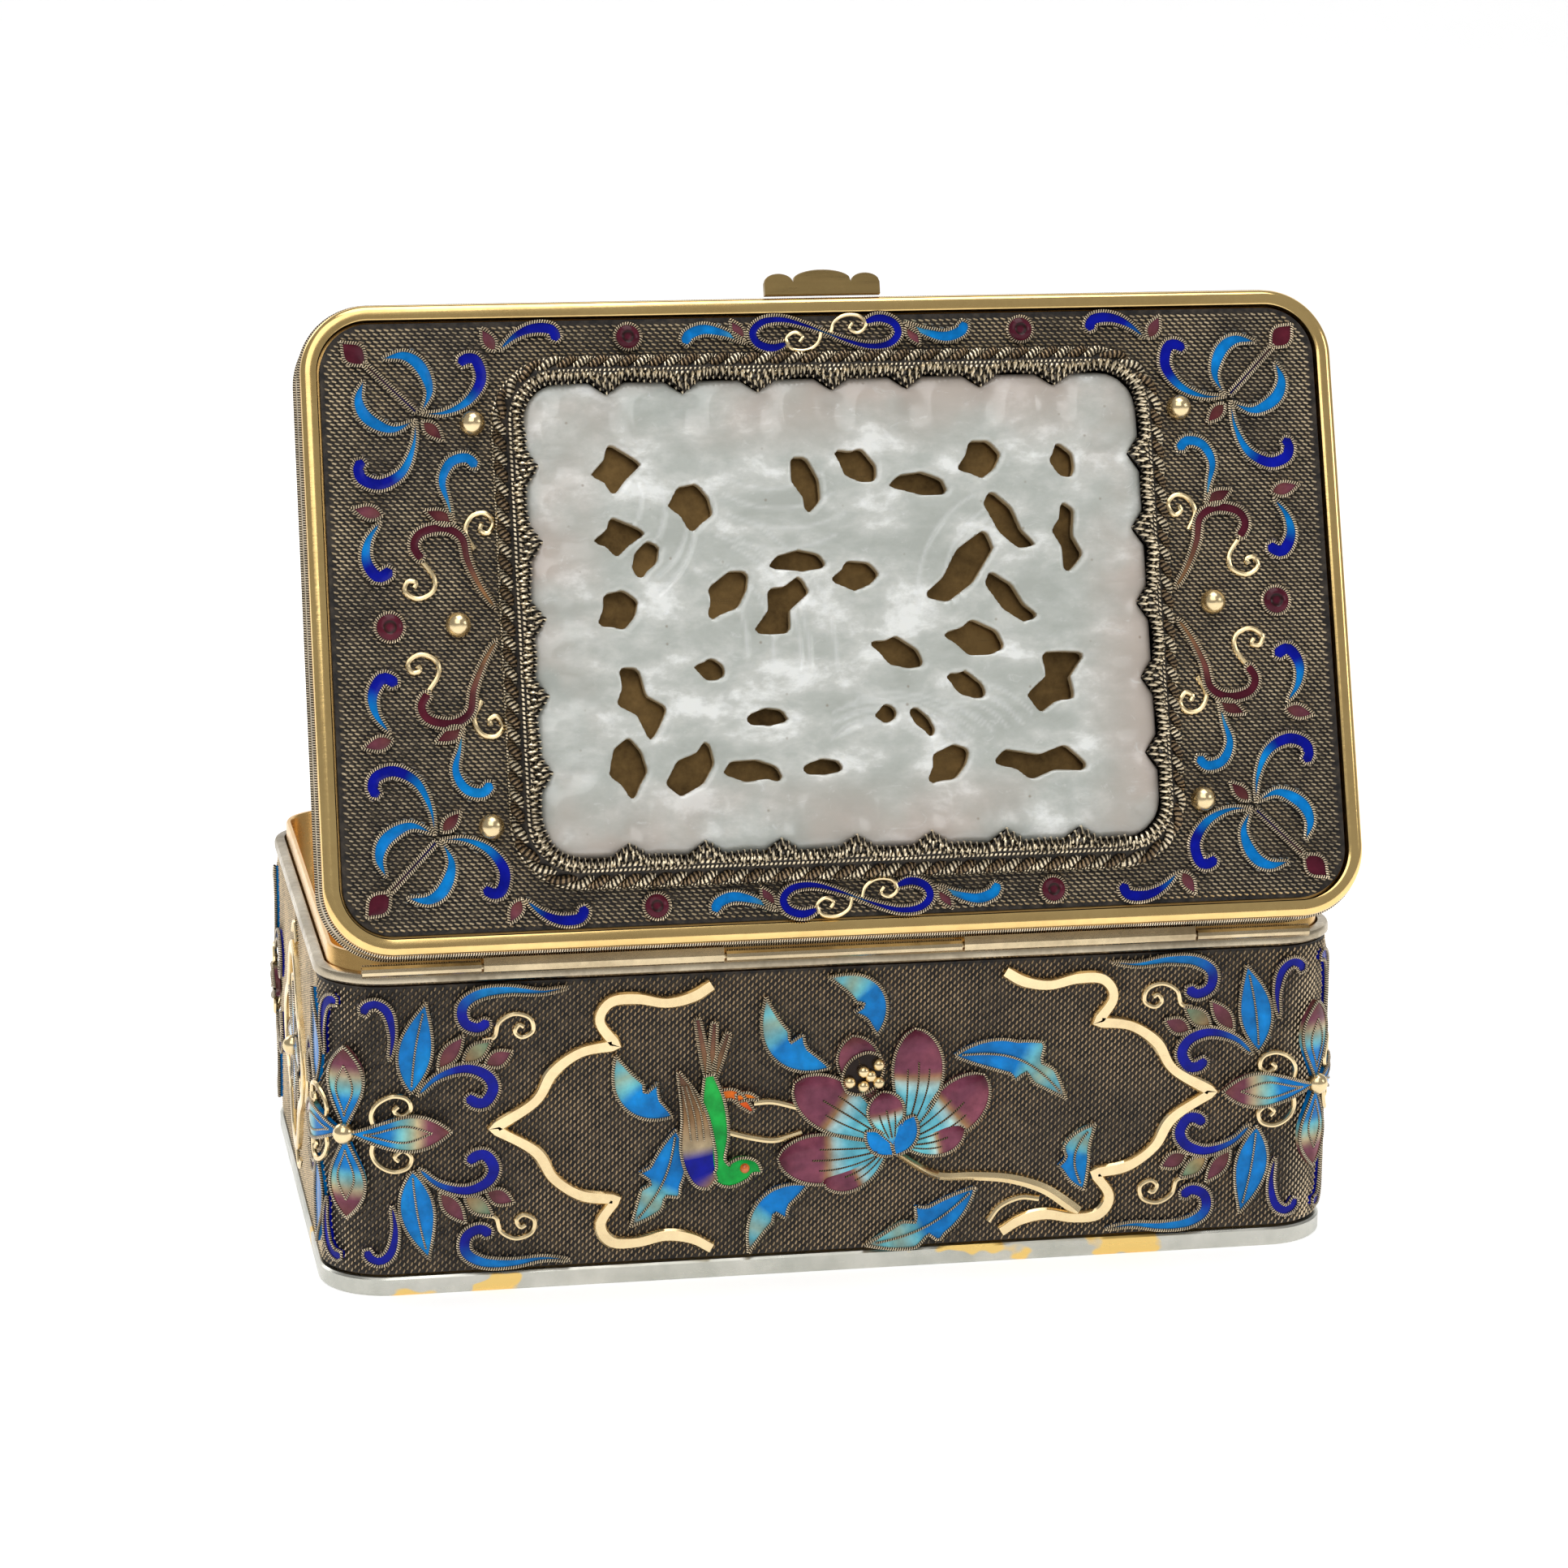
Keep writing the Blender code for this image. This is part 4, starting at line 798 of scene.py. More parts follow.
def wallWeaveTree():
    # Columns of links stood up along a path at the wall's foot; every second column is half a link higher
    t = Tree("wall weave", {"Link": "Object", "Columns": "Int", "Rows": "Int", "Row Pitch": "Float",
                            "Material": "Material"})
    path = t.node("GeometryNodeMeshToCurve", {}, {"Mesh": t.given("Geometry")})
    path = t.node("GeometryNodeResampleCurve", {}, {"Curve": path, "Count": t.given("Columns")})
    facing = t.node("FunctionNodeAlignRotationToVector", {"axis": "X", "pivot_axis": "Z"},
                    {"Vector": t.node("GeometryNodeInputTangent")})
    path = t.node("GeometryNodeStoreNamedAttribute", {"data_type": "QUATERNION", "domain": "POINT"},
                  {"Geometry": path, "Name": "facing", "Value": facing})
    points = t.node("GeometryNodeCurveToPoints", {"mode": "EVALUATED"}, {"Curve": path})
    odd = t.maths("MODULO", t.node("GeometryNodeInputIndex"), 2.0)
    rise = t.maths("MULTIPLY", t.maths("MULTIPLY", odd, t.given("Row Pitch")), 0.5)
    lift = t.node("ShaderNodeCombineXYZ", {}, {2: rise})
    points = t.node("GeometryNodeSetPosition", {}, {"Geometry": points, "Offset": lift})
    link = t.node("GeometryNodeObjectInfo", {"transform_space": "ORIGINAL"}, {"Object": t.given("Link")}, 4)
    step = t.node("ShaderNodeCombineXYZ", {}, {2: t.given("Row Pitch")})
    rows = t.node("GeometryNodeMeshLine", {}, {"Count": t.given("Rows"), "Offset": step})
    column = t.node("GeometryNodeInstanceOnPoints", {}, {"Points": rows, "Instance": link})
    turn = t.node("GeometryNodeInputNamedAttribute", {"data_type": "QUATERNION"}, {"Name": "facing"})
    t.finish(t.node("GeometryNodeInstanceOnPoints", {},
                    {"Points": points, "Instance": column, "Rotation": turn}))
    return t


def fieldWeaveTree():
    # Staggered rows of links on a flat grid, left out under the bezel and beyond the rounded corners
    t = Tree("field weave", {"Link": "Object", "Size X": "Float", "Size Y": "Float", "Columns": "Int",
                             "Rows": "Int", "Pitch": "Float", "Hole X": "Float", "Hole Y": "Float",
                             "Corner": "Float", "Material": "Material"})
    grid = t.node("GeometryNodeMeshGrid", {},
                  {"Size X": t.given("Size X"), "Size Y": t.given("Size Y"),
                   "Vertices X": t.given("Columns"), "Vertices Y": t.given("Rows")})
    halfX, halfY = t.maths("MULTIPLY", t.given("Size X"), 0.5), t.maths("MULTIPLY", t.given("Size Y"), 0.5)
    step = t.maths("DIVIDE", t.given("Size Y"), t.maths("SUBTRACT", t.given("Rows"), 1.0))
    row = t.maths("ROUND", t.maths("DIVIDE", t.maths("ADD", t.place(1), halfY), step))
    shift = t.maths("MULTIPLY", t.maths("MULTIPLY", t.maths("MODULO", row, 2.0), t.given("Pitch")), 0.5)
    offset = t.node("ShaderNodeCombineXYZ", {}, {0: shift})
    grid = t.node("GeometryNodeSetPosition", {}, {"Geometry": grid, "Offset": offset})
    x, y = t.maths("ABSOLUTE", t.place(0)), t.maths("ABSOLUTE", t.place(1))
    under = t.maths("MULTIPLY", t.maths("LESS_THAN", x, t.given("Hole X")),
                    t.maths("LESS_THAN", y, t.given("Hole Y")))
    beyondX = t.maths("MAXIMUM", t.maths("SUBTRACT", x, t.maths("SUBTRACT", halfX, t.given("Corner"))), 0.0)
    beyondY = t.maths("MAXIMUM", t.maths("SUBTRACT", y, t.maths("SUBTRACT", halfY, t.given("Corner"))), 0.0)
    reach = t.maths("SQRT", t.maths("ADD", t.maths("MULTIPLY", beyondX, beyondX),
                                    t.maths("MULTIPLY", beyondY, beyondY)))
    outside = t.maths("GREATER_THAN", reach, t.given("Corner"))
    gone = t.maths("GREATER_THAN", t.maths("ADD", under, outside), 0.5)
    grid = t.node("GeometryNodeDeleteGeometry", {"domain": "POINT"}, {"Geometry": grid, "Selection": gone})
    link = t.node("GeometryNodeObjectInfo", {"transform_space": "ORIGINAL"}, {"Object": t.given("Link")}, 4)
    t.finish(t.node("GeometryNodeInstanceOnPoints", {}, {"Points": grid, "Instance": link}))
    return t


def carrier(name, points):
    # A line of edges for a tree to start from
    mesh = bpy.data.meshes.new(name)
    mesh.from_pydata([tuple(p) for p in points], [(i, i + 1) for i in range(len(points) - 1)], [])
    item = bpy.data.objects.new(name, mesh)
    bpy.context.scene.collection.objects.link(item)
    return item


def makeWallWeave():
    # The side that the photo shows has fuller links than the three others
    full = makeLink("wall link", weave["wallLean"], weave["wallLength"], weave["wallRadius"])
    light = makeLink("light wall link", weave["wallLean"], weave["wallLength"] * 1.08,
                     weave["wallRadius"] * 1.15, (0.0,))
    tree = wallWeaveTree()
    rows = int((wallTop - wallBottom) / weave["rowPitch"])
    turn = sideRun + cornerRun / 2
    stretches = {"hinge_side": (-turn, turn), "right_end": (turn, halfRound - turn),
                 "front_side": (halfRound - turn, halfRound + turn),
                 "left_end": (halfRound + turn, 2 * halfRound - turn)}
    for side, (start, stop) in stretches.items():
        columns = 2 * round((stop - start) / weave["columnPitch"] / 2)
        s = np.linspace(start, stop - (stop - start) / columns, 241)
        foot = wallPoint(s, wallBottom + weave["rowPitch"] * 0.42, weave["wallRadius"] * 0.3)
        values = {"Link": full if side == "hinge_side" else light, "Columns": columns, "Rows": rows,
                  "Row Pitch": weave["rowPitch"], "Material": wallWeave}
        mesh = tree.run(carrier("weave path", foot), values)
        dress("weave_" + side, mesh, [], "box")
    bpy.data.objects.remove(full)
    bpy.data.objects.remove(light)
    # The wall's solid becomes a near-black sheet behind the links: painted shade for the weave's gaps
    sheet = Batch()
    outer, inner = box["wallRecess"], box["wallRecess"] + box["wallThickness"]
    profile = [(outer, wallBottom), (outer, wallTop), (inner, wallTop), (inner, wallBottom)]
    sheet.add(ringRows(boxLength, boxDepth, box["cornerRadius"], profile), 0, closed=True)
    sheet.build("wall_ground", [ground], "box", "woven_wall", ["woven_wall"])
    print("wall weave:", rows, "rows")


def makeLidWeave():
    link = makeLink("lid link", weave["lidLean"], weave["lidLength"], weave["lidRadius"])
    link.data.transform(Matrix.Rotation(-pi / 2, 4, "X"))  # its -Y side turns to face up
    columns, rows = int(2 * fieldX / weave["rowPitch"]), int(2 * fieldY / weave["columnPitch"])
    values = {"Link": link,
              "Size X": 2 * fieldX - weave["rowPitch"], "Size Y": 2 * fieldY - weave["columnPitch"],
              "Columns": columns, "Rows": rows, "Pitch": weave["rowPitch"],
              "Hole X": bezelX - weave["underBezel"], "Hole Y": bezelY - weave["underBezel"],
              "Corner": lidRadius - fieldInset, "Material": lidWeave}
    mesh = fieldWeaveTree().run(carrier("field start", [(0, 0, 0), (mm, 0, 0)]), values)
    mesh.transform(Matrix.Translation((0, 0, fieldTop + weave["lidRadius"] * 0.3)))
    dress("weave_lid", mesh, [], "lid", (), lidToWorld)
    bpy.data.objects.remove(link)
    # Below the lid's links lies a near-black sheet as painted shade for the gaps, with brass under the jade
    sheet = Batch()
    low = shellHigh[2] + seam
    points, outward = roundedRing(2 * fieldX, 2 * fieldY, lidRadius - fieldInset)
    under, outward = roundedRing(2 * jadeHigh[0], 2 * jadeHigh[1], jade["corner"])
    middle = points * 0.0
    steps = ((middle, low), (points, low), (points, fieldTop), (under, fieldTop), (middle, fieldTop))
    rows = [np.column_stack([place, np.full(len(place), z)]) for place, z in steps]
    sheet.add(np.stack(rows, 1), 0, closed=True)
    sheet.slots[-1].reshape(len(points), -1)[:, 3] = 1
    sheet.build("field_ground", [ground, underJade], "lid", "lid_field", ["lid_field"], lidToWorld)
    print("lid weave:", columns, "columns")


def makeMetalRings():
    # Liner, base band and rim with rounded edges
    r = box["cornerRadius"]
    edge = 0.25 * mm
    band = Batch()
    top, width = bandHigh[2], box["wallRecess"] + box["wallThickness"]
    profile = [(width, 0), (edge, 0), (0, edge), (0, top - edge), (edge, top), (width, top)]
    band.add(ringRows(boxLength, boxDepth, r, profile), 0, closed=True)
    band.build("band", [silverBand], "box", "base_band", ["base_band"])
    rim = Batch()
    low, top = rimLow[2], rimHigh[2]
    profile = [(width, low), (edge, low), (0, low + edge), (0, top - 2 * edge),
               (0.6 * edge, top - 0.6 * edge), (2 * edge, top), (width, top)]
    rim.add(ringRows(boxLength, boxDepth, r, profile), 0, closed=True)
    rim.build("rim", [rimSilver], "box", "top_rim", ["top_rim"])
    liner = Batch()
    inset = width + seam
    inner = inset + box["linerThickness"]
    top, floor = linerHigh[2], box["floorThickness"]
    profile = [(inset, 0), (inset, top - edge), (inset + edge * 0.6, top), (inner - edge * 0.6, top),
               (inner, top - edge), (inner, floor + 0.8 * mm), (inner + 0.25 * mm, floor + 0.25 * mm),
               (inner + 0.8 * mm, floor)]
    rows = ringRows(boxLength, boxDepth, r, profile)
    middle = np.zeros((len(rows), 2, 3))
    middle[:, :, 2] = (floor, 0.0)
    liner.add(np.concatenate([rows, middle], 1), 0, closed=True)
    liner.build("liner", [insideGold], "box", "gilt_liner", ["gilt_liner"])
    print("band, rim and liner")


flowerCurl = [(3.2, 0.8), (2.9, 2.4), (3.6, 3.9), (5.2, 4.8), (6.9, 4.4), (7.4, 3.1), (6.4, 2.2), (5.4, 2.9),
              (5.9, 3.5)]
flowerHook = [(8.2, 4.6), (10.6, 6.8), (13.8, 7.8), (16.4, 7.0), (17.4, 5.2), (16.4, 3.4), (14.9, 3.6),
              (14.6, 4.7)]
cornerFlower = {"petalWidth": 4.4, "ballRadius": 1.35 * mm, "lift": 0.5 * mm, "curlLift": 0.8 * mm}


def addCornerSpray(batch, sheet):
    # Leaves, buds, scrolls and curls to one side of a corner flower, above and below it
    for side in (1, -1):
        draw = Drawing(batch, sheet, turn=mirrored(side))
        leaf = draw.leaf((7.5, 4.9), (9.4, 16.4), 4.2, plain("sky"), side * 0.03, 0.85)
        addWire(batch, sheet, leaf[2:-3, :2], 0.66 * mm, 0.13 * mm, slot=3)
        draw.scroll(flowerHook, 0.7, 1.7, navyScroll)
        draw.leaf((10.8, 7.9), (13.9, 12.0), 2.1, plumBud, 0.0, 0.9)
        draw.leaf((13.8, 8.6), (17.2, 11.2), 2.1, greenBud, 0.0, 0.9)
        draw.leaf((16.4, 8.1), (19.8, 9.7), 2.1, plumBud, 0.0, 0.9)
        draw.scroll([(5.0, 9.2), (5.4, 12.4), (4.9, 15.2), (3.6, 16.4), (2.3, 15.8), (2.5, 14.8)], 0.5, 1.35,
                    plain("navy"))
        draw.scroll([(26.6, 17.5), (23.3, 17.1), (19.5, 17.5), (16.0, 17.2), (13.9, 15.8), (14.0, 13.7),
                     (15.7, 12.9), (17.1, 13.9)], 0.4, 1.6, swoosh)
        draw.curl(flowerCurl, lift=cornerFlower["curlLift"])
        draw.curl([(16.2, 11.2), (17.6, 11.6), (18.2, 13.4), (20.0, 14.4), (21.9, 13.8), (22.3, 12.2),
                   (21.0, 11.4), (20.1, 12.1), (20.6, 13.0), (21.2, 12.7)])


def addFlowerPetals(flower, sheet):
    # Four ribbed petals round a gilt bead
    lift = cornerFlower["lift"]
    for index, tip in enumerate(((12.2, 0.0), (0.0, 10.9), (-11.2, 0.0), (0.0, -10.9))):
        base = (0.3 * tip[0] / 12, 0.3 * tip[1] / 11)
        petal = leafLine(base, tip, cornerFlower["petalWidth"], 0.0, 1.35, 0.85)
        low = lift - 0.02 * mm * index
        addCell(flower, sheet, petal, flowerPetal, low, 0.75 * mm, puff=0.25 * mm)
        inner = petal[4:int(len(petal) * 0.82)]
        for hand in (1, -1):
            swell = hand * 0.24 * np.sin(np.linspace(0, pi, len(inner)))
            rib = inner[:, :2] + sideways(inner) * inner[:, 2:] * swell[:, None]
            addWire(flower, sheet, rib, low + 0.86 * mm, 0.13 * mm, slot=1)
    addBall(flower, sheet(0.0, 0.0, lift + 1.0 * mm), cornerFlower["ballRadius"])


def makeCorners():
    # Corner flowers and what grows from them along both walls
    shift = cornerRun / 12
    reach = sideRun + cornerRun / 2 - shift
    places = {"rear_left": (-reach, 1), "rear_right": (reach, -1),
              "front_right": (halfRound - reach, 1), "front_left": (halfRound + reach, -1)}
    sprays = {"hinge_side_sprays": Batch(), "front_side_sprays": Batch()}
    for name, (centre, direction) in places.items():
        sheet = wallSheet(centre, direction)
        flower = Batch()
        addFlowerPetals(flower, sheet)
        flower.build(name + "_petals", pieceMaterials, "box", name + "_flower", [name + "_flower"])
        batch = sprays["hinge_side_sprays" if name.startswith("rear") else "front_side_sprays"]
        addCornerSpray(batch, sheet)
        for side in (1, -1):
            draw = Drawing(batch, wallSheet(centre, -direction), turn=mirrored(side))
            draw.leaf((6.0, 4.9), (7.9, 16.4), 4.1, plain("sky"), side * 0.03, 0.85)
            draw.scroll([(6.6, 4.6), (8.8, 6.8), (12.0, 7.8), (14.4, 7.0), (15.4, 5.2), (14.4, 3.4),
                         (12.9, 3.7)], 0.7, 1.7, navyScroll)
            draw.scroll([(3.5, 9.2), (3.9, 12.4), (3.4, 15.2), (2.1, 16.4), (1.2, 15.8)], 0.5, 1.35,
                        plain("navy"))
            draw.curl(flowerCurl, lift=cornerFlower["curlLift"])
    for name, batch in sprays.items():
        batch.build(name, wireMaterials, "box", "woven_wall")
    print("corner flowers and sprays")


cartouche = {"width": 1.6 * mm, "height": 0.85 * mm, "shift": 2.0}


def makeCartouches():
    # Ogee frames of polished gilt strip
    upper = [(18.2, 17.0), (20.6, 15.6), (23.8, 15.0), (27.4, 15.7), (30.6, 15.4), (31.9, 13.0), (29.9, 9.9)]
    lower = [(29.9, 9.9), (34.2, 9.2), (37.6, 6.8), (39.8, 3.2), (44.9, 0.0)]
    units = np.array([sideUnit, riseUnit])
    first, length = smooth(np.array(upper) * units, 0.5 * mm)
    second, length = smooth(np.array(lower) * units, 0.5 * mm)
    quarter = np.vstack([first, second[1:]])
    line = np.vstack([quarter, (quarter * (1, -1))[::-1][1:]])
    high = cartouche["height"]
    section = [(-1, 0), (-1, high * 0.7), (-0.72, high), (0.72, high), (1, high * 0.7), (1, 0)]
    for side, centre in (("rear", 0.0), ("front", halfRound)):
        for hand, direction in (("right", 1), ("left", -1)):
            sheet = wallSheet(centre + cartouche["shift"] * sideUnit, direction)
            batch = Batch()
            wave = 1 + 0.06 * np.sin(np.arange(len(line)) * 0.37)
            batch.add(sweep(sheet, line, cartouche["width"] * wave, section, 0.1 * mm), 0)
            name = side + "_cartouche_" + hand
            batch.build(name.replace("cartouche", "frame"), [paleGold], "box", name, [name])
    print("cartouches")


def barbedLine(base, tip, width, bend, barbs):
    # A leaf whose edges end in barbs: side 1 is its left edge, each barb (side, place along the leaf, reach)
    line = leafLine(base, tip, width, bend, 0.85)
    half = line[:, 2] / 2
    halves = np.stack([half, half], -1)
    t = np.linspace(0, 1, len(line))
    for side, place, reach in barbs:
        column = 0 if side > 0 else 1
        rising = np.clip(t / place, 0, 1) ** 1.6 * reach * mm
        fallen = np.clip(1 - (t - place) / 0.07, 0.0, 1.0) * reach * mm
        swell = half * np.clip(0.25 + (t - place) / 0.22, 0, 1)
        halves[:, column] = np.where(t <= place, np.maximum(rising, half * 0.9), np.maximum(fallen, swell))
    return np.column_stack([line[:, :2], halves])


def addBarbedLeaf(batch, sheet, base, tip, width, bend, barbs, ribbed=False):
    line = barbedLine(base, tip, width, bend, barbs)
    addCell(batch, sheet, line, bladeLeaf, 0.05 * mm, 0.7 * mm)
    if ribbed:
        addWire(batch, sheet, line[2:-3, :2], 0.78 * mm, 0.15 * mm)


# base, tip, width, bend, barbs, midrib
panelLeaves = [((-1.6, 5.6), (-9.6, 15.2), 3.7, 0.20, [(-1, 0.42, 2.9)], False),
               ((4.3, 9.6), (-1.9, 17.3), 3.5, -0.24, [(1, 0.34, 2.8)], False),
               ((14.0, 6.4), (28.2, 0.0), 4.6, 0.16, [(1, 0.60, 3.4), (-1, 0.56, 2.6)], True),
               ((30.6, -12.0), (32.0, -3.4), 3.6, 0.22, [(1, 0.40, 2.2)], True),
               ((16.8, -11.0), (3.0, -17.8), 4.6, 0.10, [(-1, 0.50, 3.0), (1, 0.46, 2.6)], True),
               ((-4.2, -9.4), (-11.6, -17.9), 3.3, -0.16, [(1, 0.42, 2.6)], False)]
perchLeaves = [((-21.0, 0.4), (-28.0, 8.6), 3.8, 0.16, [(-1, 0.36, 3.2)], False),
               ((-20.6, -1.4), (-26.2, -13.6), 4.9, 0.10, [(-1, 0.50, 3.2), (1, 0.56, 2.8)], True)]


def makeLeaves():
    sides = {"hinge_side_leaves": (0.0, panelLeaves + perchLeaves),
             "front_side_leaves": (halfRound, panelLeaves)}
    for name, (centre, leaves) in sides.items():
        batch = Batch()
        for leaf in leaves:
            addBarbedLeaf(batch, wallSheet(centre), *leaf)
        batch.build(name, pieceMaterials, "box", "woven_wall")
    print("panel leaves")


# base, tip, width, bend, height above the wall in mm; the first is the bud behind the seed head
lotusPetals = [((4.0, 1.2), (1.2, 9.6), 5.2, 0.04, 0.10), ((6.2, -4.2), (-6.0, 4.0), 6.6, 0.00, 0.30),
               ((6.2, -4.8), (-8.0, -5.6), 6.4, 0.06, 0.34), ((7.4, -4.0), (8.9, 10.2), 6.4, -0.08, 0.26),
               ((7.0, -4.4), (17.6, 3.8), 6.4, -0.10, 0.22)]
smallPetals = [((5.8, -4.4), (-2.4, -9.2), 4.4, 0.10, 0.20), ((7.2, -4.6), (15.2, -3.0), 4.2, -0.08, 0.30),
               ((6.2, -4.4), (4.8, 2.4), 4.6, 0.0, 0.72)]


def makeLotus(side, centre, rich):
    # Lotus with ribbed petals, a seed head and a long stem
    sheet = wallSheet(centre)
    batch = Batch()
    draw = Drawing(batch, sheet)
    for base, tip, width, bend, low in lotusPetals + (smallPetals if rich else []):
        paint = lotusBud if low == 0.10 else lotusPetal
        petal = draw.leaf(base, tip, width, paint, bend, 1.5, 0.55,
                          low=low * mm, high=0.75 * mm, puff=0.6 * mm)
        for offset in (-0.42, 0.0, 0.42):
            ribbed = petal[2:int(len(petal) * (0.66 if offset else 0.74))]
            rib = ribbed[:, :2] + sideways(ribbed) * ribbed[:, 2:] * offset * 0.5
            addWire(batch, sheet, rib, low * mm + (1.02 + 0.14 * (offset == 0)) * mm, 0.13 * mm, slot=3)
    draw.leaf((6.6, -5.8), (8.8, -0.8), 3.2, plain("sky"), 0.0, 0.95, 0.7,
              low=0.9 * mm, high=0.7 * mm, puff=0.3 * mm)
    draw.leaf((6.2, -5.8), (2.8, -2.6), 2.8, plain("sky"), 0.0, 0.95, 0.7,
              low=0.85 * mm, high=0.7 * mm, puff=0.3 * mm)
    if rich:
        draw.leaf((0.4, 2.6), (4.4, 7.2), 4.6, plain("pod"), 0.0, 1.0, 0.5, low=0.75 * mm, high=0.7 * mm)
        for u, v in ((0.7, 3.9), (2.4, 5.2), (4.3, 6.0), (2.4, 3.3), (4.3, 3.7), (3.3, 4.6)):
            addBall(batch, sheet(u * sideUnit, v * riseUnit, 1.6 * mm), 0.78 * mm)
    stem = [(5.6, -4.8), (8.8, -7.3), (12.2, -9.2), (16.8, -9.5), (21.3, -10.1), (25.5, -11.6), (28.6, -13.8),
            (30.0, -15.0)]
    line, length = smooth(np.array(stem) * (sideUnit, riseUnit))
    t = np.linspace(0, 1, len(line))
    section = [(-1, 0), (-0.8, 0.6 * mm), (0, 0.95 * mm), (0.8, 0.6 * mm), (1, 0), (0, 0)]
    batch.add(sweep(sheet, line, (0.9 + 0.9 * t) * mm, section, 0.1 * mm), 2)
    thick = 0.42 * mm
    draw.curl([(18.6, -15.6), (20.1, -13.7), (22.6, -12.7), (25.0, -13.0)], thick)
    if rich:
        draw.curl([(-11.0, 1.6), (-8.6, 1.6), (-5.2, 0.6)], thick, lift=0.6 * mm)
        draw.curl([(-14.4, -2.0), (-11.0, -3.0), (-8.2, -3.4), (-5.0, -2.6)], thick, lift=0.5 * mm)
    batch.build(side + "_blossom", pieceMaterials + [darkWire], "box", side + "_lotus", [side + "_lotus"])


def makeBird():
    # Bird, head down, with a folded wing, tail feathers and an orange leg
    sheet = wallSheet(0.0)
    batch = Batch()
    draw = Drawing(batch, sheet)
    units = np.array([sideUnit, riseUnit, mm])

    def limb(points, paint, low, high=0.75, puff=0.3):
        line, length = smooth(np.array(points) * units, 0.35 * mm)
        addCell(batch, sheet, line, paint, low * mm, high * mm, puff=puff * mm)

    for (u, v), colour in (((-18.0, 12.8), "brown"), ((-15.9, 12.2), "brown"), ((-14.2, 10.8), "umber")):
        limb([(-16.4, 4.0, 0.8), ((u - 16.4) / 2, (v + 4) / 2, 1.0), (u, v, 0.7)], [(0, "tan"), (1, colour)],
             0.25, 0.6, 0.1)
    limb([(-15.6, 2.8, 1.3), (-13.6, 2.9, 1.3), (-12.2, 1.6, 1.1), (-11.2, 0.6, 0.5)],
         [(0, "orange"), (1, "red")], 0.35, 0.7, 0.1)
    limb([(-13.2, 2.4, 1.0), (-11.8, 2.6, 0.9), (-10.6, 2.2, 0.3)], plain("orange"), 0.35, 0.7, 0.1)
    limb([(-16.6, 5.6, 1.2), (-16.1, 2.0, 2.8), (-15.6, -2.0, 2.8), (-15.9, -5.6, 2.6), (-14.4, -7.5, 2.8),
          (-12.5, -6.8, 3.0), (-11.2, -6.6, 2.0), (-10.2, -7.2, 0.3)],
         [(0, "lime"), (0.4, "birdGreen"), (1, "birdGreen")], 0.5)
    limb([(-16.2, -8.4, 1.6), (-17.3, -7.2, 3.4), (-18.0, -4.0, 4.2), (-18.4, 0.2, 3.2), (-19.2, 3.2, 2.0),
          (-20.4, 6.2, 0.3)],
         [(0, "tan"), (0.10, "navy"), (0.26, "navy"), (0.34, "cream"), (0.6, "tan"), (1, "umber")], 0.65)
    for shift in (-0.7, 0.1, 0.9):
        draw.curl([(-18.2 + shift, -2.6), (-18.6 + shift, 0.8), (-19.6 + shift * 0.6, 4.6)],
                  0.12 * mm, 1, 1.72 * mm)
    addBall(batch, sheet(-12.2 * sideUnit, -6.6 * riseUnit, 1.35 * mm), 0.62 * mm, 3)
    batch.build("bird", pieceMaterials + [eyeEnamel()], "box", "rear_bird", ["rear_bird"])
    print("lotus and bird")


def eyeEnamel():
    s = Shader("bird eye")
    s.set(Base_Color=s.mix(s.span(s.noise(700.0), 0.4, 0.6), hue["orange"], (0.5, 0.08, 0.01)))
    s.set(Roughness=0.15, Coat_Weight=0.6)
    return s.material


medallion = {"radius": 11.4, "lobe": 1.9}


def turned(angle):
    # Turns a drawing about its own origin
    return lambda point: (point[0] * cos(angle) - point[1] * sin(angle),
                          point[0] * sin(angle) + point[1] * cos(angle))


def makeMedallions():
    # Four-lobed frame on each end, with a blossom and gilt curls inside
    turn = 2 * pi * np.arange(96) / 96
    width = cartouche["width"]
    radius = medallion["radius"] + medallion["lobe"] * np.cos(4 * turn)
    for hand, centre in (("right", sideRun + cornerRun + endRun), ("left", -sideRun - cornerRun - endRun)):
        sheet = wallSheet(centre)
        batch = Batch()
        rows = []
        for shift, lift in ((-0.5, 0), (-0.5, 0.6), (-0.35, 0.8), (0.35, 0.8), (0.5, 0.6), (0.5, 0)):
            across = (radius * endUnit + shift * width) * np.cos(turn)
            rise = (radius * riseUnit + shift * width) * np.sin(turn)
            rows.append(sheet(across, rise, (0.1 + lift) * mm))
        batch.add(np.stack(rows, 1), 2, closed=True)
        for quarter in range(4):
            draw = Drawing(batch, sheet, (endUnit, riseUnit), turned(pi / 2 * quarter))
            draw.leaf((0.9, 0.0), (8.6, 0.0), 4.0, flowerPetal, puff=0.3 * mm)
            draw.leaf((2.4, 2.4), (6.4, 6.4), 2.4, plain("sky"), 0.0, 0.9)
            for side in (1, -1):
                draw.curl([(9.0, side * 1.2), (8.6, side * 3.4), (6.9, side * 4.2), (6.0, side * 3.1),
                           (6.8, side * 2.4)])
            draw.curl([(14.6, -3.2), (16.6, 0.0), (14.6, 3.2)], 0.3 * mm)
        addBall(batch, sheet(0.0, 0.0, 0.9 * mm), 1.3 * mm)
        node = hand + "_medallion"
        batch.build(hand + "_end_medallion", pieceMaterials, "box", node, [node])
    print("end medallions")


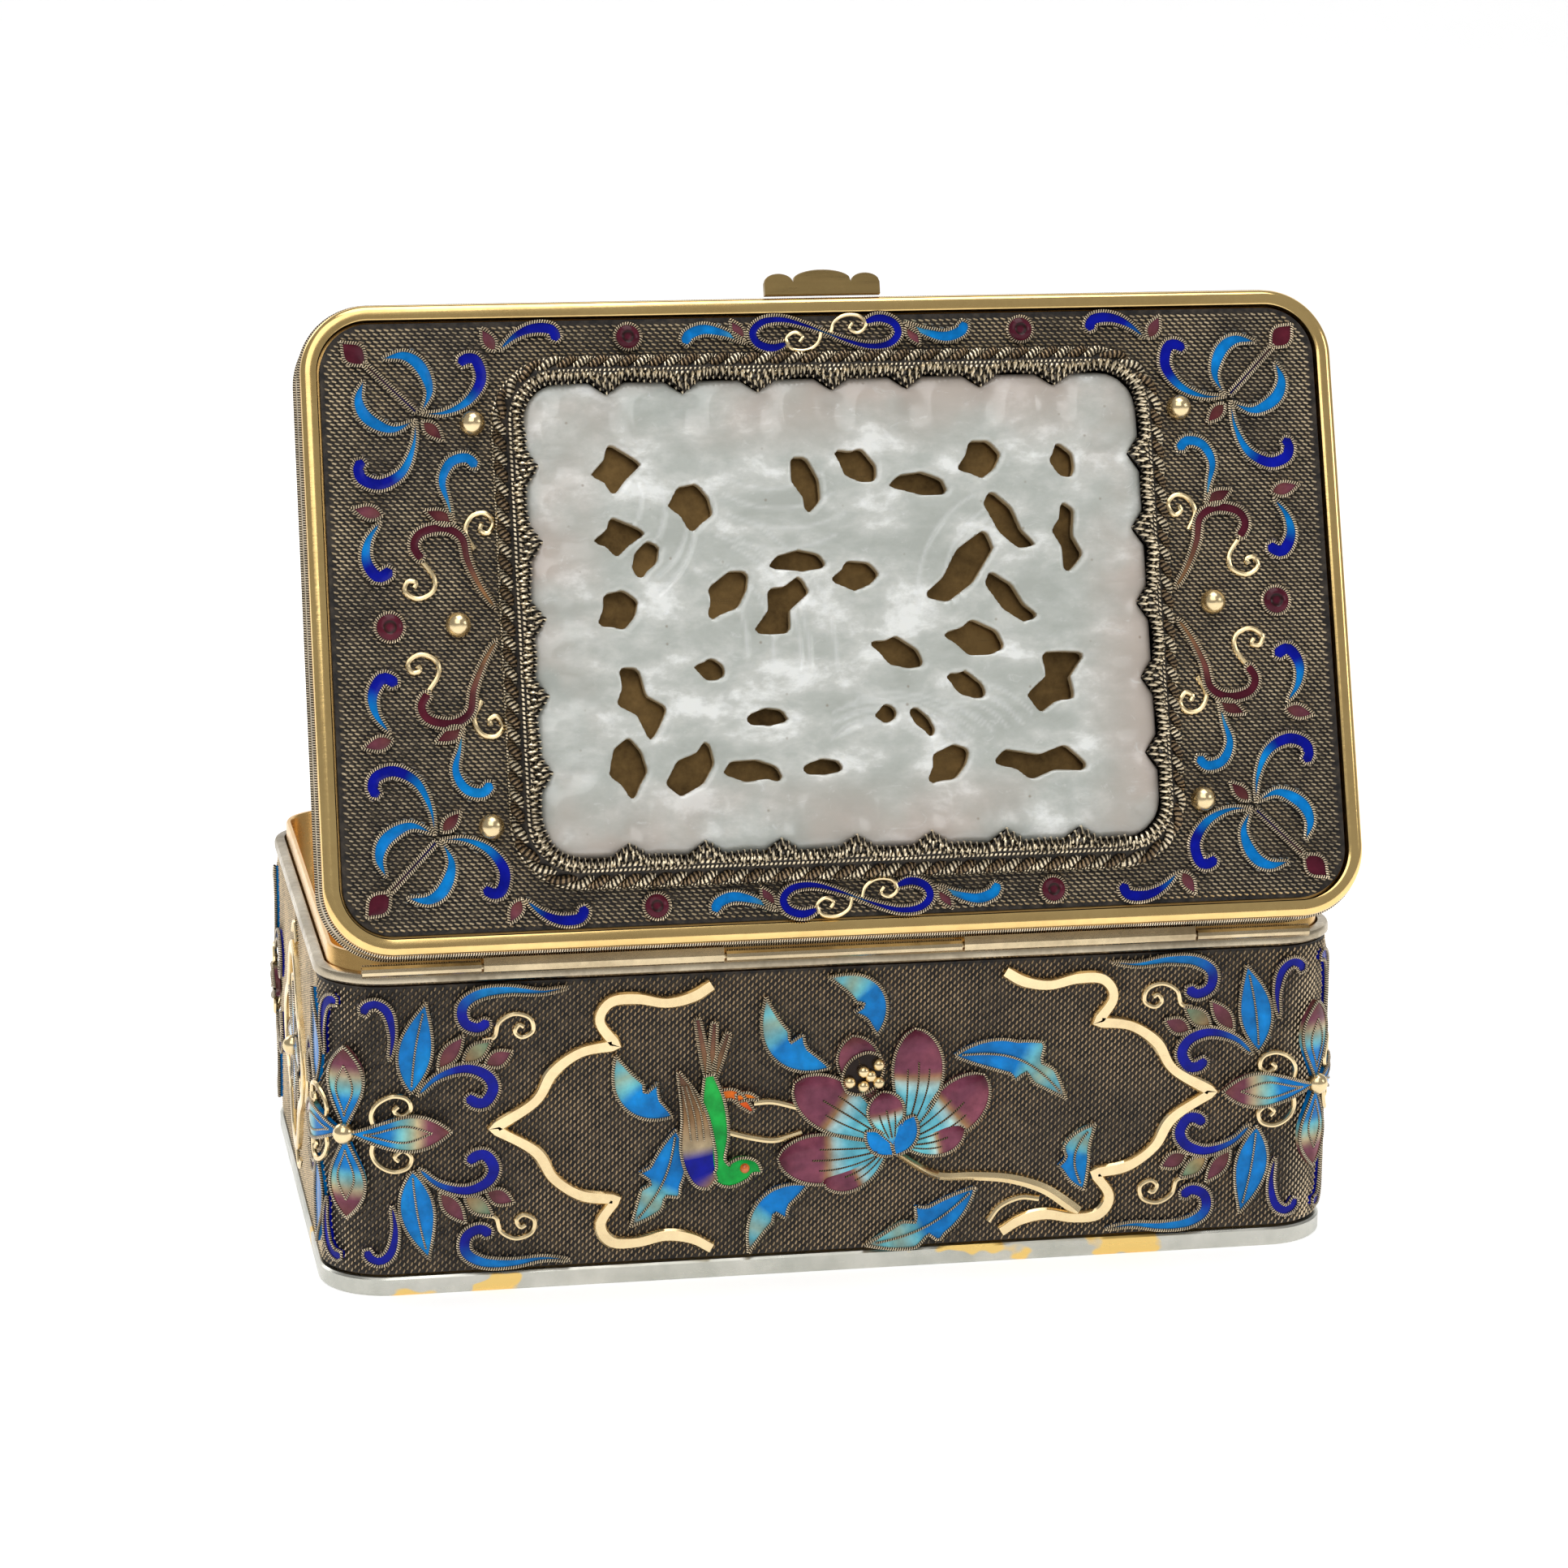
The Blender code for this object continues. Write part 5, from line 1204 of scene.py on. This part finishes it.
def makeLidMetal():
    # Shell, polished border and the wires round the lid's side
    radius = lidRadius
    low, top = shellLow[2], shellHigh[2]
    thick, plate = lid["wallThickness"], lid["plateThickness"]
    shell = Batch()
    profile = [(0, top), (0, low), (thick, low), (thick, top - plate - 0.6 * mm),
               (thick + 0.6 * mm, top - plate)]
    rows = ringRows(lidLength, lidDepth, radius, profile)
    middle = np.zeros((len(rows), 2, 3))
    middle[:, :, 2] = (top - plate, top)
    shell.add(np.concatenate([rows, middle], 1), 0, closed=True)
    shell.slots[-1].reshape(len(rows), -1)[:, :2] = 1
    shell.build("lid_body", [insideGold, sideBrass], "lid", "lid_shell", ["lid_shell"], lidToWorld)

    border = Batch()
    low, width = borderLow[2], lid["borderWidth"]
    height = lidTop - low
    profile = [(0.12 * mm, low), (0, low + 0.12 * mm)]
    for angle in np.linspace(0, pi / 2, 8):
        profile.append((width * 0.5 * (1 - cos(angle)), low + height * (0.45 + 0.55 * sin(angle))))
    profile += [(width * 0.8, lidTop), (width * 0.93, lidTop - 0.1 * mm), (width, fieldTop), (width, low)]
    border.add(ringRows(lidLength, lidDepth, radius, profile, 24), 0, closed=True)
    border.build("border", [gold], "lid", "lid_border", ["lid_border"], lidToWorld)

    side = Batch()
    points, outward = roundedRing(lidLength, lidDepth, radius, 14)
    run = np.concatenate([[0], np.cumsum(np.hypot(*np.diff(np.vstack([points, points[:1]]), axis=0).T))])
    wires = ((shellLow[2] + 0.35 * mm, 0.32 * mm), (shellHigh[2] - 0.35 * mm, 0.32 * mm),
             (shellHigh[2] - 1.0 * mm, 0.2 * mm))
    for z, girth in wires:
        stations = np.linspace(0, run[-1], int(run[-1] / (0.5 * mm)), endpoint=False)
        x = np.interp(stations, run, np.append(points[:, 0], points[0, 0]))
        y = np.interp(stations, run, np.append(points[:, 1], points[0, 1]))
        line = np.column_stack([x, y, np.full(len(x), z)])
        side.add(tube(line, np.tile([0.0, 0.0, 1.0], (len(line), 1)), girth, 5, True), 1, closed=True,
                 along=np.append(stations, run[-1]) / cell["pitch"])
    side.build("lid_side_wires", [enamel, fineWire], "lid", "lid_shell", (), lidToWorld)
    print("lid shell and border")


crescents = ([(11.8, 10.9), (12.9, 8.2), (11.9, 5.3), (10.0, 4.0), (7.5, 4.3)],
             [(11.0, 11.8), (8.2, 12.8), (5.4, 11.4), (4.4, 9.2), (5.1, 6.9)])
arms = ([(11.6, 11.0), (14.6, 10.9), (17.4, 9.6), (19.1, 7.1), (18.6, 4.7), (17.2, 4.6), (16.9, 5.6)],
        [(11.1, 11.6), (10.7, 14.8), (9.2, 17.9), (6.6, 19.3), (4.4, 18.6), (4.1, 17.0), (5.1, 16.8)])


def makeLidMotifs():
    # A motif in each corner: bud on a stem, two crescents and two scrolling arms
    units = (endFieldUnit, depthUnit)
    for sideX, wordX in ((1, "right"), (-1, "left")):
        for sideY, wordY in ((1, "front"), (-1, "rear")):
            sheet = lidSheet(sideX * fieldX, sideY * fieldY, -sideX, -sideY)
            batch = Batch()
            draw = Drawing(batch, sheet, units)
            for crescent, arm in zip(crescents, arms):
                line, length = smooth(np.array(crescent) * units)
                t = np.linspace(0, 1, len(line))
                width = (0.3 + 1.45 * np.sin(pi * t ** 1.2).clip(0)) * mm
                addCell(batch, sheet, np.column_stack([line, width]), plain("sky"), 0.05 * mm)
                draw.scroll(arm, 0.35, 1.65, [(0, "sky"), (0.42, "sky"), (0.56, "navy"), (1, "navy")],
                            low=0.03 * mm)
            line, length = smooth(np.array([(5.2, 4.8), (8.0, 7.6), (11.2, 10.8)]) * units)
            stem = np.column_stack([line, np.full(len(line), 0.6 * mm)])
            addCell(batch, sheet, stem, [(0, "umber"), (1, "deep")], 0.1 * mm)
            draw.leaf((2.6, 2.2), (5.6, 5.2), 2.7, plain("maroon"), 0.0, 1.0, 1.25, low=0.1 * mm)
            draw.leaf((11.9, 11.9), (14.3, 14.3), 1.7, redBud, low=0.12 * mm)
            name = "lid_motif_%s_%s" % (wordY, wordX)
            batch.build(name.replace("motif", "scrolls"), wireMaterials, "lid", name, [name], lidToWorld)
    print("lid motifs")


# Sizes of the balls and discs on the field
lidBeads = {"ballRadius": 1.55 * mm, "ballLift": 0.9 * mm, "longDisc": 1.6 * mm, "endDisc": 1.75 * mm}


def addLidQuarter(batch, sideX, sideY):
    # Sprigs, side group, disc and bead of one quarter of the field
    sheet = lidSheet(sideX * fieldX, sideY * fieldY, -sideX, -sideY)
    draw = Drawing(batch, sheet, (endFieldUnit, longFieldUnit))
    draw.scroll([(21.4, 3.6), (23.4, 1.9), (25.6, 1.0), (27.9, 1.2), (28.5, 2.8)], 0.5, 1.6, navyScroll)
    draw.leaf((21.0, 3.7), (19.4, 0.8), 1.7, plumBud)
    draw = Drawing(batch, sheet, (endFieldUnit, depthUnit))
    draw.scroll([(6.4, 23.7), (4.8, 26.0), (4.5, 28.4), (5.8, 30.3), (7.7, 29.4)], 0.5, 1.7,
                [(0, "sky"), (0.4, "sky"), (0.6, "navy"), (1, "navy")])
    draw.leaf((6.7, 23.0), (3.0, 22.1), 1.8, plumBud)
    addDisc(batch, sheet, 36.9 * lengthUnit, (fieldY - bezelY) / 2, lidBeads["longDisc"])
    addBall(batch, sheet(17.8 * endFieldUnit, 12.3 * depthUnit, lidBeads["ballLift"]), lidBeads["ballRadius"])
    draw = Drawing(batch, lidSheet(sideX * fieldX, 0.0, -sideX, sideY), (endFieldUnit, depthUnit))
    draw.scroll([(15.0, 12.2), (14.5, 14.6), (13.9, 17.2), (15.0, 19.4), (17.0, 19.9), (18.2, 18.6)],
                0.35, 1.5, [(0, "pale"), (0.3, "sky"), (1, "sky")])
    draw.leaf((15.2, 12.2), (11.6, 13.8), 1.8, redBud)
    draw.scroll([(19.6, 1.8), (17.9, 4.4), (16.5, 7.6), (15.9, 10.4), (13.8, 11.6), (11.1, 11.1), (10.2, 9.5),
                 (11.2, 7.7)], 0.7, 1.3, [(0, "tan"), (0.35, "brown"), (0.55, "maroon"), (1, "maroon")])
    draw.curl([(17.4, 9.0), (16.4, 11.1), (17.2, 12.9), (18.8, 13.3), (19.8, 12.2), (19.1, 10.9),
               (18.2, 11.3), (18.4, 12.0)])
    draw.curl([(10.9, 8.0), (12.4, 5.8), (12.2, 4.1), (10.4, 3.3), (8.9, 4.2), (9.3, 5.4), (10.3, 5.2),
               (10.0, 4.6)])


def makeLidOrnament():
    # Quarters, then an S-scroll with sprigs and curls in the middle of each long side
    batch = Batch()
    for sideX in (1, -1):
        for sideY in (1, -1):
            addLidQuarter(batch, sideX, sideY)
    units = (lengthUnit, longFieldUnit)
    middle = 2.2
    half = [(-4.6, 3.3), (-6.6, 3.9), (-8.4, 3.3), (-8.9, 1.9), (-7.6, 0.7), (-5.2, 0.5), (-2.6, 1.2),
            (0.0, middle)]
    whole = half + [(-u, 2 * middle - v) for u, v in reversed(half[:-1])]
    for side in (1, -1):
        sheet = lidSheet(0.0, side * fieldY, side, -side)
        line, length = smooth(np.array(whole) * units)
        t = np.linspace(0, 1, len(line))
        ends = np.sqrt(np.clip(1 - np.abs(2 * t - 1) ** 14, 0, 1))
        width = (0.5 + 0.9 * np.abs(np.cos(pi * t))) * mm * ends
        paint = [(0, "navy"), (0.45, "navy"), (0.5, "sky"), (0.55, "navy"), (1, "navy")]
        addCell(batch, sheet, np.column_stack([line, width]), paint)
        for turn in (1, -1):
            draw = Drawing(batch, sheet, units,
                           lambda point, turn=turn: (turn * point[0], middle + turn * (point[1] - middle)))
            draw.scroll([(-9.7, 3.3), (-12.2, 2.1), (-14.9, 1.5), (-16.9, 2.3), (-16.9, 3.5)], 0.5, 1.6,
                        [(0, "pale"), (0.4, "sky"), (1, "sky")])
            draw.leaf((-10.0, 2.9), (-11.6, 0.4), 1.5, plumBud)
            draw.curl([(-0.6, 2.2), (-1.1, 3.5), (-2.5, 4.3), (-4.3, 4.1), (-4.9, 2.9), (-3.9, 2.1),
                       (-2.9, 2.6), (-3.3, 3.3)], 0.24 * mm, lift=0.75 * mm)
        sheet = lidSheet(side * fieldX, 0.0, -side, 1)
        addDisc(batch, sheet, 6.9 * endFieldUnit, 0.0, lidBeads["endDisc"])
        addBall(batch, sheet(15.0 * endFieldUnit, 0.0, lidBeads["ballLift"]), lidBeads["ballRadius"])
    batch.build("lid_ornament", wireMaterials, "lid", "lid_field", (), lidToWorld)
    print("lid ornament")


thumb = {"middleLobe": 0.50, "sideLobe": 0.25, "shoulder": 0.50, "edge": 0.18 * mm}


def makeThumbpiece():
    # Brass tab with a broad lobe between two small ones
    batch = Batch()
    half, reach = (thumbHigh[0] - thumbLow[0]) / 2, thumbHigh[1] - thumbLow[1]
    x = np.linspace(-1, 1, 81)
    side, wide = thumb["sideLobe"], thumb["middleLobe"]
    middle = 0.60 + 0.40 * np.sqrt(np.clip(1 - (x / wide) ** 2, 0, 1))
    lobes = thumb["shoulder"] + 0.36 * np.sqrt(np.clip(1 - ((np.abs(x) - 1 + side) / side) ** 2, 0, 1))
    far = np.where(np.abs(x) < wide, middle, lobes)
    outline = np.vstack([np.column_stack([x * half, far * reach]), np.column_stack([x[::-1] * half, 0 * x])])
    outline += ((thumbHigh[0] + thumbLow[0]) / 2, thumbLow[1])
    centre = np.column_stack([outline[:, 0] * 0.97, np.full(len(outline), thumbLow[1] + 0.3 * reach)])
    low, high, edge = thumbLow[2], thumbHigh[2], thumb["edge"]
    rows = []
    steps = ((low, 0.0), (low, 0.93), (low + edge, 1.0), (high - edge, 1.0), (high, 0.93), (high, 0.0))
    for z, share in steps:
        rows.append(np.column_stack([centre + (outline - centre) * share, np.full(len(outline), z)]))
    batch.add(np.stack(rows, 1), 0, around=False, closed=True)
    batch.build("thumb_tab", [brass], "lid", "thumbpiece", ["thumbpiece"], lidToWorld)


bezel = {"strandRadius": 0.56 * mm, "braidRadius": 0.50 * mm, "braidPitch": 3.7 * mm, "claws": 9.1 * mm,
         "notchDepth": 1.5 * mm, "notchHalf": 2.1 * mm}


def ringPath(halfX, halfY, radius, step, notched=0.0):
    # Evenly spaced points round a rounded rectangle with outward directions, stepping in at the notches
    points, outward = roundedRing(2 * halfX, 2 * halfY, radius, 20)
    loop = np.vstack([points, points[:1]])
    run = np.concatenate([[0], np.cumsum(np.hypot(*np.diff(loop, axis=0).T))])
    count = int(run[-1] / step)
    stations = np.linspace(0, run[-1], count, endpoint=False)
    place = np.stack([np.interp(stations, run, loop[:, k]) for k in (0, 1)], -1)
    out = np.vstack([outward, outward[:1]])
    out = np.stack([np.interp(stations, run, out[:, k]) for k in (0, 1)], -1)
    out /= np.hypot(out[:, 0], out[:, 1])[:, None]
    if notched:
        place = place - out * (notched * notchDip(place[:, 0], place[:, 1]))[:, None]
    return place, out, stations, run[-1]


def notchDip(x, y):
    # 1 in the middle of a notch of the jade's edge, falling to 0 at its ends
    alongEnds = np.abs(x) - jadeHigh[0] > np.abs(y) - jadeHigh[1]
    along = np.where(alongEnds, y, x)
    straight = np.where(alongEnds, jadeHigh[1], jadeHigh[0]) - jade["corner"]
    count = np.floor(2 * (straight + seam) / bezel["claws"])
    offset = np.where(count % 2 == 1, 0.0, 0.5) * bezel["claws"]
    nearest = np.round((along - offset) / bezel["claws"]) * bezel["claws"] + offset
    inside = np.abs(nearest) < count / 2 * bezel["claws"]
    return np.clip(1 - np.abs(along - nearest) / bezel["notchHalf"], 0, 1) * inside


def addStrand(batch, halfX, halfY, radius, height, girth, offset=0.0, swing=0.0, pitch=1.0, phase=0.0, slot=0,
              turns=1.0):
    # A strand round the bezel; swing carries it round its own path so that two make a twist
    points, outward, stations, total = ringPath(halfX, halfY, radius, 0.4 * mm)
    angle = 2 * pi * round(total / pitch) * stations / total + phase
    place = points + outward * (offset + swing * np.cos(angle))[:, None]
    line = np.column_stack([place, height + swing * np.sin(angle)])
    reference = np.tile([0.0, 0.0, 1.0], (len(line), 1))
    along = np.append(stations, total) * turns / cell["pitch"]
    batch.add(tube(line, reference, girth, 7, True), slot, closed=True, along=along)


def addLashing(batch, halfX, halfY, radius, height, girth, swing, pitch, notched):
    # Wire wound in a spiral along the jade's edge
    points, outward, stations, total = ringPath(halfX, halfY, radius, pitch / 8, notched)
    angle = 2 * pi * round(total / pitch) * stations / total
    wander = 0.12 * mm * np.sin(stations / (1.9 * mm)) + 0.08 * mm * np.sin(stations / (0.83 * mm))
    place = points + outward * (swing * np.cos(angle) + wander)[:, None]
    line = np.column_stack([place, height + 0.7 * swing * np.sin(angle)])
    reference = np.column_stack([-outward[:, 1], outward[:, 0], np.zeros(len(line))])
    along = np.append(stations, total) / (pitch * 0.5)
    batch.add(tube(line, reference, girth, 5, True), 0, closed=True, along=along)


def makeBezel():
    # Braided outer wire, two twisted wires, and the lashing that dips into the jade's notches over dark mesh
    base, top = fieldTop, bezelHigh[2]
    edgeX, edgeY, corner = jadeHigh[0] + seam, jadeHigh[1] + seam, jade["corner"]
    batch = Batch()
    collar = [(0.0, base), (0.0, top - 1.1 * mm), (-0.7 * mm, top - 0.9 * mm), (-1.7 * mm, base + 1.7 * mm),
              (-2.9 * mm, base + 0.9 * mm), (-2.9 * mm, base)]
    # The collar under the ropes takes the near-black material: painted shade beneath them
    batch.add(ringRows(2 * edgeX, 2 * edgeY, corner, collar), 1, closed=True)
    points, outward, stations, total = ringPath(edgeX, edgeY, corner, 0.35 * mm)
    dip = notchDip(points[:, 0], points[:, 1])
    inner = points - outward * ((bezel["notchDepth"] + 0.2 * mm) * dip)[:, None]
    patch = [np.column_stack([points + outward * 0.4 * mm, np.full(len(points), top - 1.1 * mm)]),
             np.column_stack([points, top - 0.75 * mm + 0.25 * mm * dip]),
             np.column_stack([inner, jadeHigh[2] - 0.25 * mm + 0 * dip]),
             np.column_stack([inner, jadeHigh[2] - 1.2 * mm + 0 * dip])]
    batch.add(np.stack(patch, 1), 2, closed=True)
    out = bezelX - edgeX
    reach = out - bezel["strandRadius"] - bezel["braidRadius"]
    for phase, slot in ((0.0, 0), (pi, 3)):
        addStrand(batch, edgeX, edgeY, corner, base + 1.1 * mm, bezel["strandRadius"], reach,
                  bezel["braidRadius"], bezel["braidPitch"], phase, slot, turns=0.9)
    addStrand(batch, edgeX, edgeY, corner, base + 0.35 * mm, 0.24 * mm, out - 0.26 * mm, turns=0.8)
    addStrand(batch, edgeX, edgeY, corner, base + 2.25 * mm, 0.30 * mm, out - 2.2 * mm, turns=0.55)
    addStrand(batch, edgeX, edgeY, corner, base + 2.65 * mm, 0.34 * mm, out - 2.75 * mm, turns=0.45)
    addLashing(batch, edgeX + 0.1 * mm, edgeY + 0.1 * mm, corner, top - 0.50 * mm, 0.20 * mm, 0.50 * mm,
               0.76 * mm, bezel["notchDepth"])
    addLashing(batch, edgeX + 0.55 * mm, edgeY + 0.55 * mm, corner, top - 0.62 * mm, 0.19 * mm, 0.42 * mm,
               0.88 * mm, 0.55 * bezel["notchDepth"])
    batch.build("jade_mount", [boldWire, ground, meshPatch, darkWire], "lid", "bezel", ["bezel"], lidToWorld)
    print("bezel")


jade = {"corner": 5.0 * mm, "voxel": 0.36 * mm, "lobe": 0.50 * mm, "cut": 0.13 * mm, "notchFade": 2.4 * mm}


def makeJadePlaque():
    # The plaque's solid, refined, with a lobed and notched edge, cut lines and a hand-worked surface
    item = bpy.data.objects.new("jade start", frame["nodes"]["jade_plaque"].data.copy())
    bpy.context.scene.collection.objects.link(item)
    shape = bmesh.new()
    shape.from_mesh(item.data)
    bmesh.ops.remove_doubles(shape, verts=shape.verts, dist=0.00001)
    shape.transform(worldToLid)
    shape.to_mesh(item.data)
    shape.free()
    remesh = item.modifiers.new("grain", "REMESH")
    remesh.mode, remesh.voxel_size = "VOXEL", jade["voxel"]
    soften = item.modifiers.new("soften", "SMOOTH")
    soften.factor, soften.iterations = 0.5, 2
    mesh = bpy.data.meshes.new_from_object(item.evaluated_get(bpy.context.evaluated_depsgraph_get()))
    bpy.data.objects.remove(item)
    points = np.zeros(len(mesh.vertices) * 3)
    mesh.vertices.foreach_get("co", points)
    points = points.reshape(-1, 3)
    middle = (jadeHigh + jadeLow) / 2
    x, y = points[:, 0] - middle[0], points[:, 1] - middle[1]
    upper = np.clip((points[:, 2] - middle[2]) / (0.9 * mm), 0, 1)
    edgeX, edgeY = jadeHigh[0] - np.abs(x), jadeHigh[1] - np.abs(y)
    edge = np.minimum(edgeX, edgeY)
    along = np.where(edgeX < edgeY, y, x)
    bulge = np.cos(2 * pi * (along / bezel["claws"] + 0.5)) * np.exp(-((edge - 3.9 * mm) / (2.3 * mm)) ** 2)
    rise = jade["lobe"] * bulge
    for index in range(9):
        turn = 0.7 * index
        wave = 2 * pi / ((5.5 + index) * mm)
        forward = np.sin(wave * (x * cos(turn) + y * sin(turn)) + index)
        across = np.sin(0.7 * wave * (y * cos(turn) - x * sin(turn)))
        rise += 0.022 * mm * forward * across
    cuts = np.zeros(len(points))
    for centreX, centreY, radius, start, stop in cutArcs():
        far = np.abs(np.hypot(x - centreX, y - centreY) - radius)
        angle = np.mod(np.arctan2(y - centreY, x - centreX), 2 * pi)
        inside = np.mod(angle - start, 2 * pi) < (stop - start)
        groove = np.exp(-(far / (0.20 * mm)) ** 2) * inside
        rise -= jade["cut"] * groove
        cuts = np.maximum(cuts, groove)
    rounding = np.exp(-np.clip(edge, 0, None) / (0.7 * mm))
    side = np.clip((middle[2] + 1.0 * mm - points[:, 2]) / (0.5 * mm), 0, 1)
    points[:, 2] += (rise - 0.55 * mm * rounding) * upper
    points[:, 2] = np.minimum(points[:, 2], jadeHigh[2] + 0.15 * mm)
    fade = np.clip(1 - edge / jade["notchFade"], 0, 1)
    inward = bezel["notchDepth"] * notchDip(points[:, 0], points[:, 1]) * fade
    points[:, 0] -= np.sign(x) * inward * (edgeX < edgeY)
    points[:, 1] -= np.sign(y) * inward * (edgeX >= edgeY)
    mesh.vertices.foreach_set("co", points.ravel())
    border = np.clip(1.25 - edge / (8 * mm), 0, 1)
    mesh.materials.clear()
    for name, values in (("side", side), ("cut", cuts * upper), ("border", border)):
        mesh.attributes.new(name, "FLOAT", "POINT").data.foreach_set("value", values)
    mesh.update()
    dress("carved_jade", mesh, [jadeStone], "lid", ["jade_plaque"], lidToWorld)
    print("jade plaque:", len(mesh.polygons), "faces")


def cutArcs():
    # Incised arcs that fan out in feathers and leaf veins: centre, radius, start and stop
    fans = [(8, (3, -23), 9.5, 1.0, (0.55, 2.2)), (5, (-21, -3), 9.0, 2.3, (6.0, 7.5)),
            (4, (22, 3), 7.5, 2.0, (1.9, 3.4)), (4, (-8, 26), 11.0, 1.9, (4.1, 5.3)),
            (5, (12, -18), 6.0, 1.3, (0.5, 1.7)), (4, (-30, 14), 6.0, 2.0, (5.2, 6.7))]
    arcs = []
    for count, (x, y), radius, step, (start, stop) in fans:
        for index in range(count):
            centre = (x + 0.9 * index % 2.1) * mm, (y - 0.5 * index) * mm
            arcs.append((*centre, (radius + step * index) * mm, start + 0.04 * index, stop - 0.05 * index))
    return arcs


def keepHinge():
    # The hinge's own solids stay, in worn gilding and silver
    for name, item in frame["nodes"].items():
        if "knuckle" in name or name == "hinge_pin":
            for slot in item.material_slots:
                slot.material = hingeSilver
            item.data.shade_smooth()
            item.data.set_sharp_from_angle(angle=radians(40))


camera = {"focal": 5375.0, "frame": 1932.0, "yaw": 10.59, "pitch": 13.09, "roll": 0.30,
          "place": (-103.5 * mm, -538.1 * mm, 182.2 * mm), "centre": (939.0, 945.0), "sensor": 36.0}


def makeCamera():
    data = bpy.data.cameras.new("camera")
    item = bpy.data.objects.new("camera", data)
    bpy.context.scene.collection.objects.link(item)
    data.sensor_width = camera["sensor"]
    data.lens = camera["focal"] * camera["sensor"] / camera["frame"]
    data.shift_x = (camera["frame"] / 2 - camera["centre"][0]) / camera["frame"]
    data.shift_y = (camera["centre"][1] - camera["frame"] / 2) / camera["frame"]
    data.clip_start, data.clip_end = 0.05, 10.0
    yaw, pitch, roll = (radians(camera[key]) for key in ("yaw", "pitch", "roll"))
    ahead = Vector((sin(yaw) * cos(pitch), cos(yaw) * cos(pitch), -sin(pitch)))
    right = Vector((cos(yaw), -sin(yaw), 0.0))
    up = right.cross(ahead)
    right, up = right * cos(roll) + up * sin(roll), up * cos(roll) - right * sin(roll)
    turn = Matrix((right, up, -ahead)).transposed()
    item.matrix_world = Matrix.Translation(camera["place"]) @ turn.to_4x4()
    bpy.context.scene.camera = item


stage = {"half": 3.0, "back": 2.4, "curve": 1.2, "height": 3.0, "glow": 0.50}


def makeFloor():
    # Pale floor that curves up behind
    profile = [(-stage["half"], 0.0), (-1.0, 0.0), (0.0, 0.0), (1.0, 0.0)]
    start = stage["back"] - stage["curve"]
    for angle in np.linspace(0, pi / 2, 13):
        profile.append((start + stage["curve"] * sin(angle), stage["curve"] * (1 - cos(angle))))
    profile.append((stage["back"], stage["height"]))
    points, faces = [], []
    for y, z in profile:
        points += [(-stage["half"], y, z), (stage["half"], y, z)]
    for index in range(len(profile) - 1):
        faces.append((2 * index, 2 * index + 1, 2 * index + 3, 2 * index + 2))
    s = Shader("pale floor")
    shade = s.mix(s.span(s.noise(6.0), 0.3, 0.7), (0.86, 0.86, 0.86), (0.88, 0.88, 0.88))
    s.set(Base_Color=shade, Roughness=0.7)
    s.set(Emission_Color=(1.0, 1.0, 1.0), Emission_Strength=stage["glow"])
    mesh = bpy.data.meshes.new("floor")
    mesh.from_pydata(points, [], faces)
    mesh.shade_smooth()
    mesh.materials.append(s.material)
    floor = bpy.data.objects.new("floor", mesh)
    bpy.context.scene.collection.objects.link(floor)


lights = {"key": ((-0.30, -0.78, 0.92), 0.85, 3.6), "fill": ((0.85, -0.45, 0.45), 0.30, 0.7),
          "top": ((0.05, -0.10, 1.0), 0.6, 3.4), "back": ((-0.6, 0.7, 0.6), 0.5, 1.6)}


def makeLights():
    for name, (place, size, power) in lights.items():
        data = bpy.data.lights.new(name, "AREA")
        data.size, data.energy = size, power
        item = bpy.data.objects.new(name, data)
        item.location = place
        item.rotation_euler = (Vector((0, 0, 0.05)) - Vector(place)).to_track_quat("-Z", "Y").to_euler()
        bpy.context.scene.collection.objects.link(item)
    world = bpy.data.worlds.new("studio")
    bpy.context.scene.world = world
    world.use_nodes = True
    world.node_tree.nodes["Background"].inputs[0].default_value = (1.0, 1.0, 1.0, 1.0)
    world.node_tree.nodes["Background"].inputs[1].default_value = 0.34
    bpy.context.scene.view_settings.view_transform = "Standard"


makeCamera()
makeFloor()
makeLights()
makeWallWeave()
makeLidWeave()
makeMetalRings()
makeCorners()
makeCartouches()
makeLeaves()
makeLotus("rear", 0.0, True)
makeLotus("front", halfRound, False)
makeBird()
makeMedallions()
makeLidMetal()
makeLidMotifs()
makeLidOrnament()
makeThumbpiece()
makeBezel()
makeJadePlaque()
keepHinge()
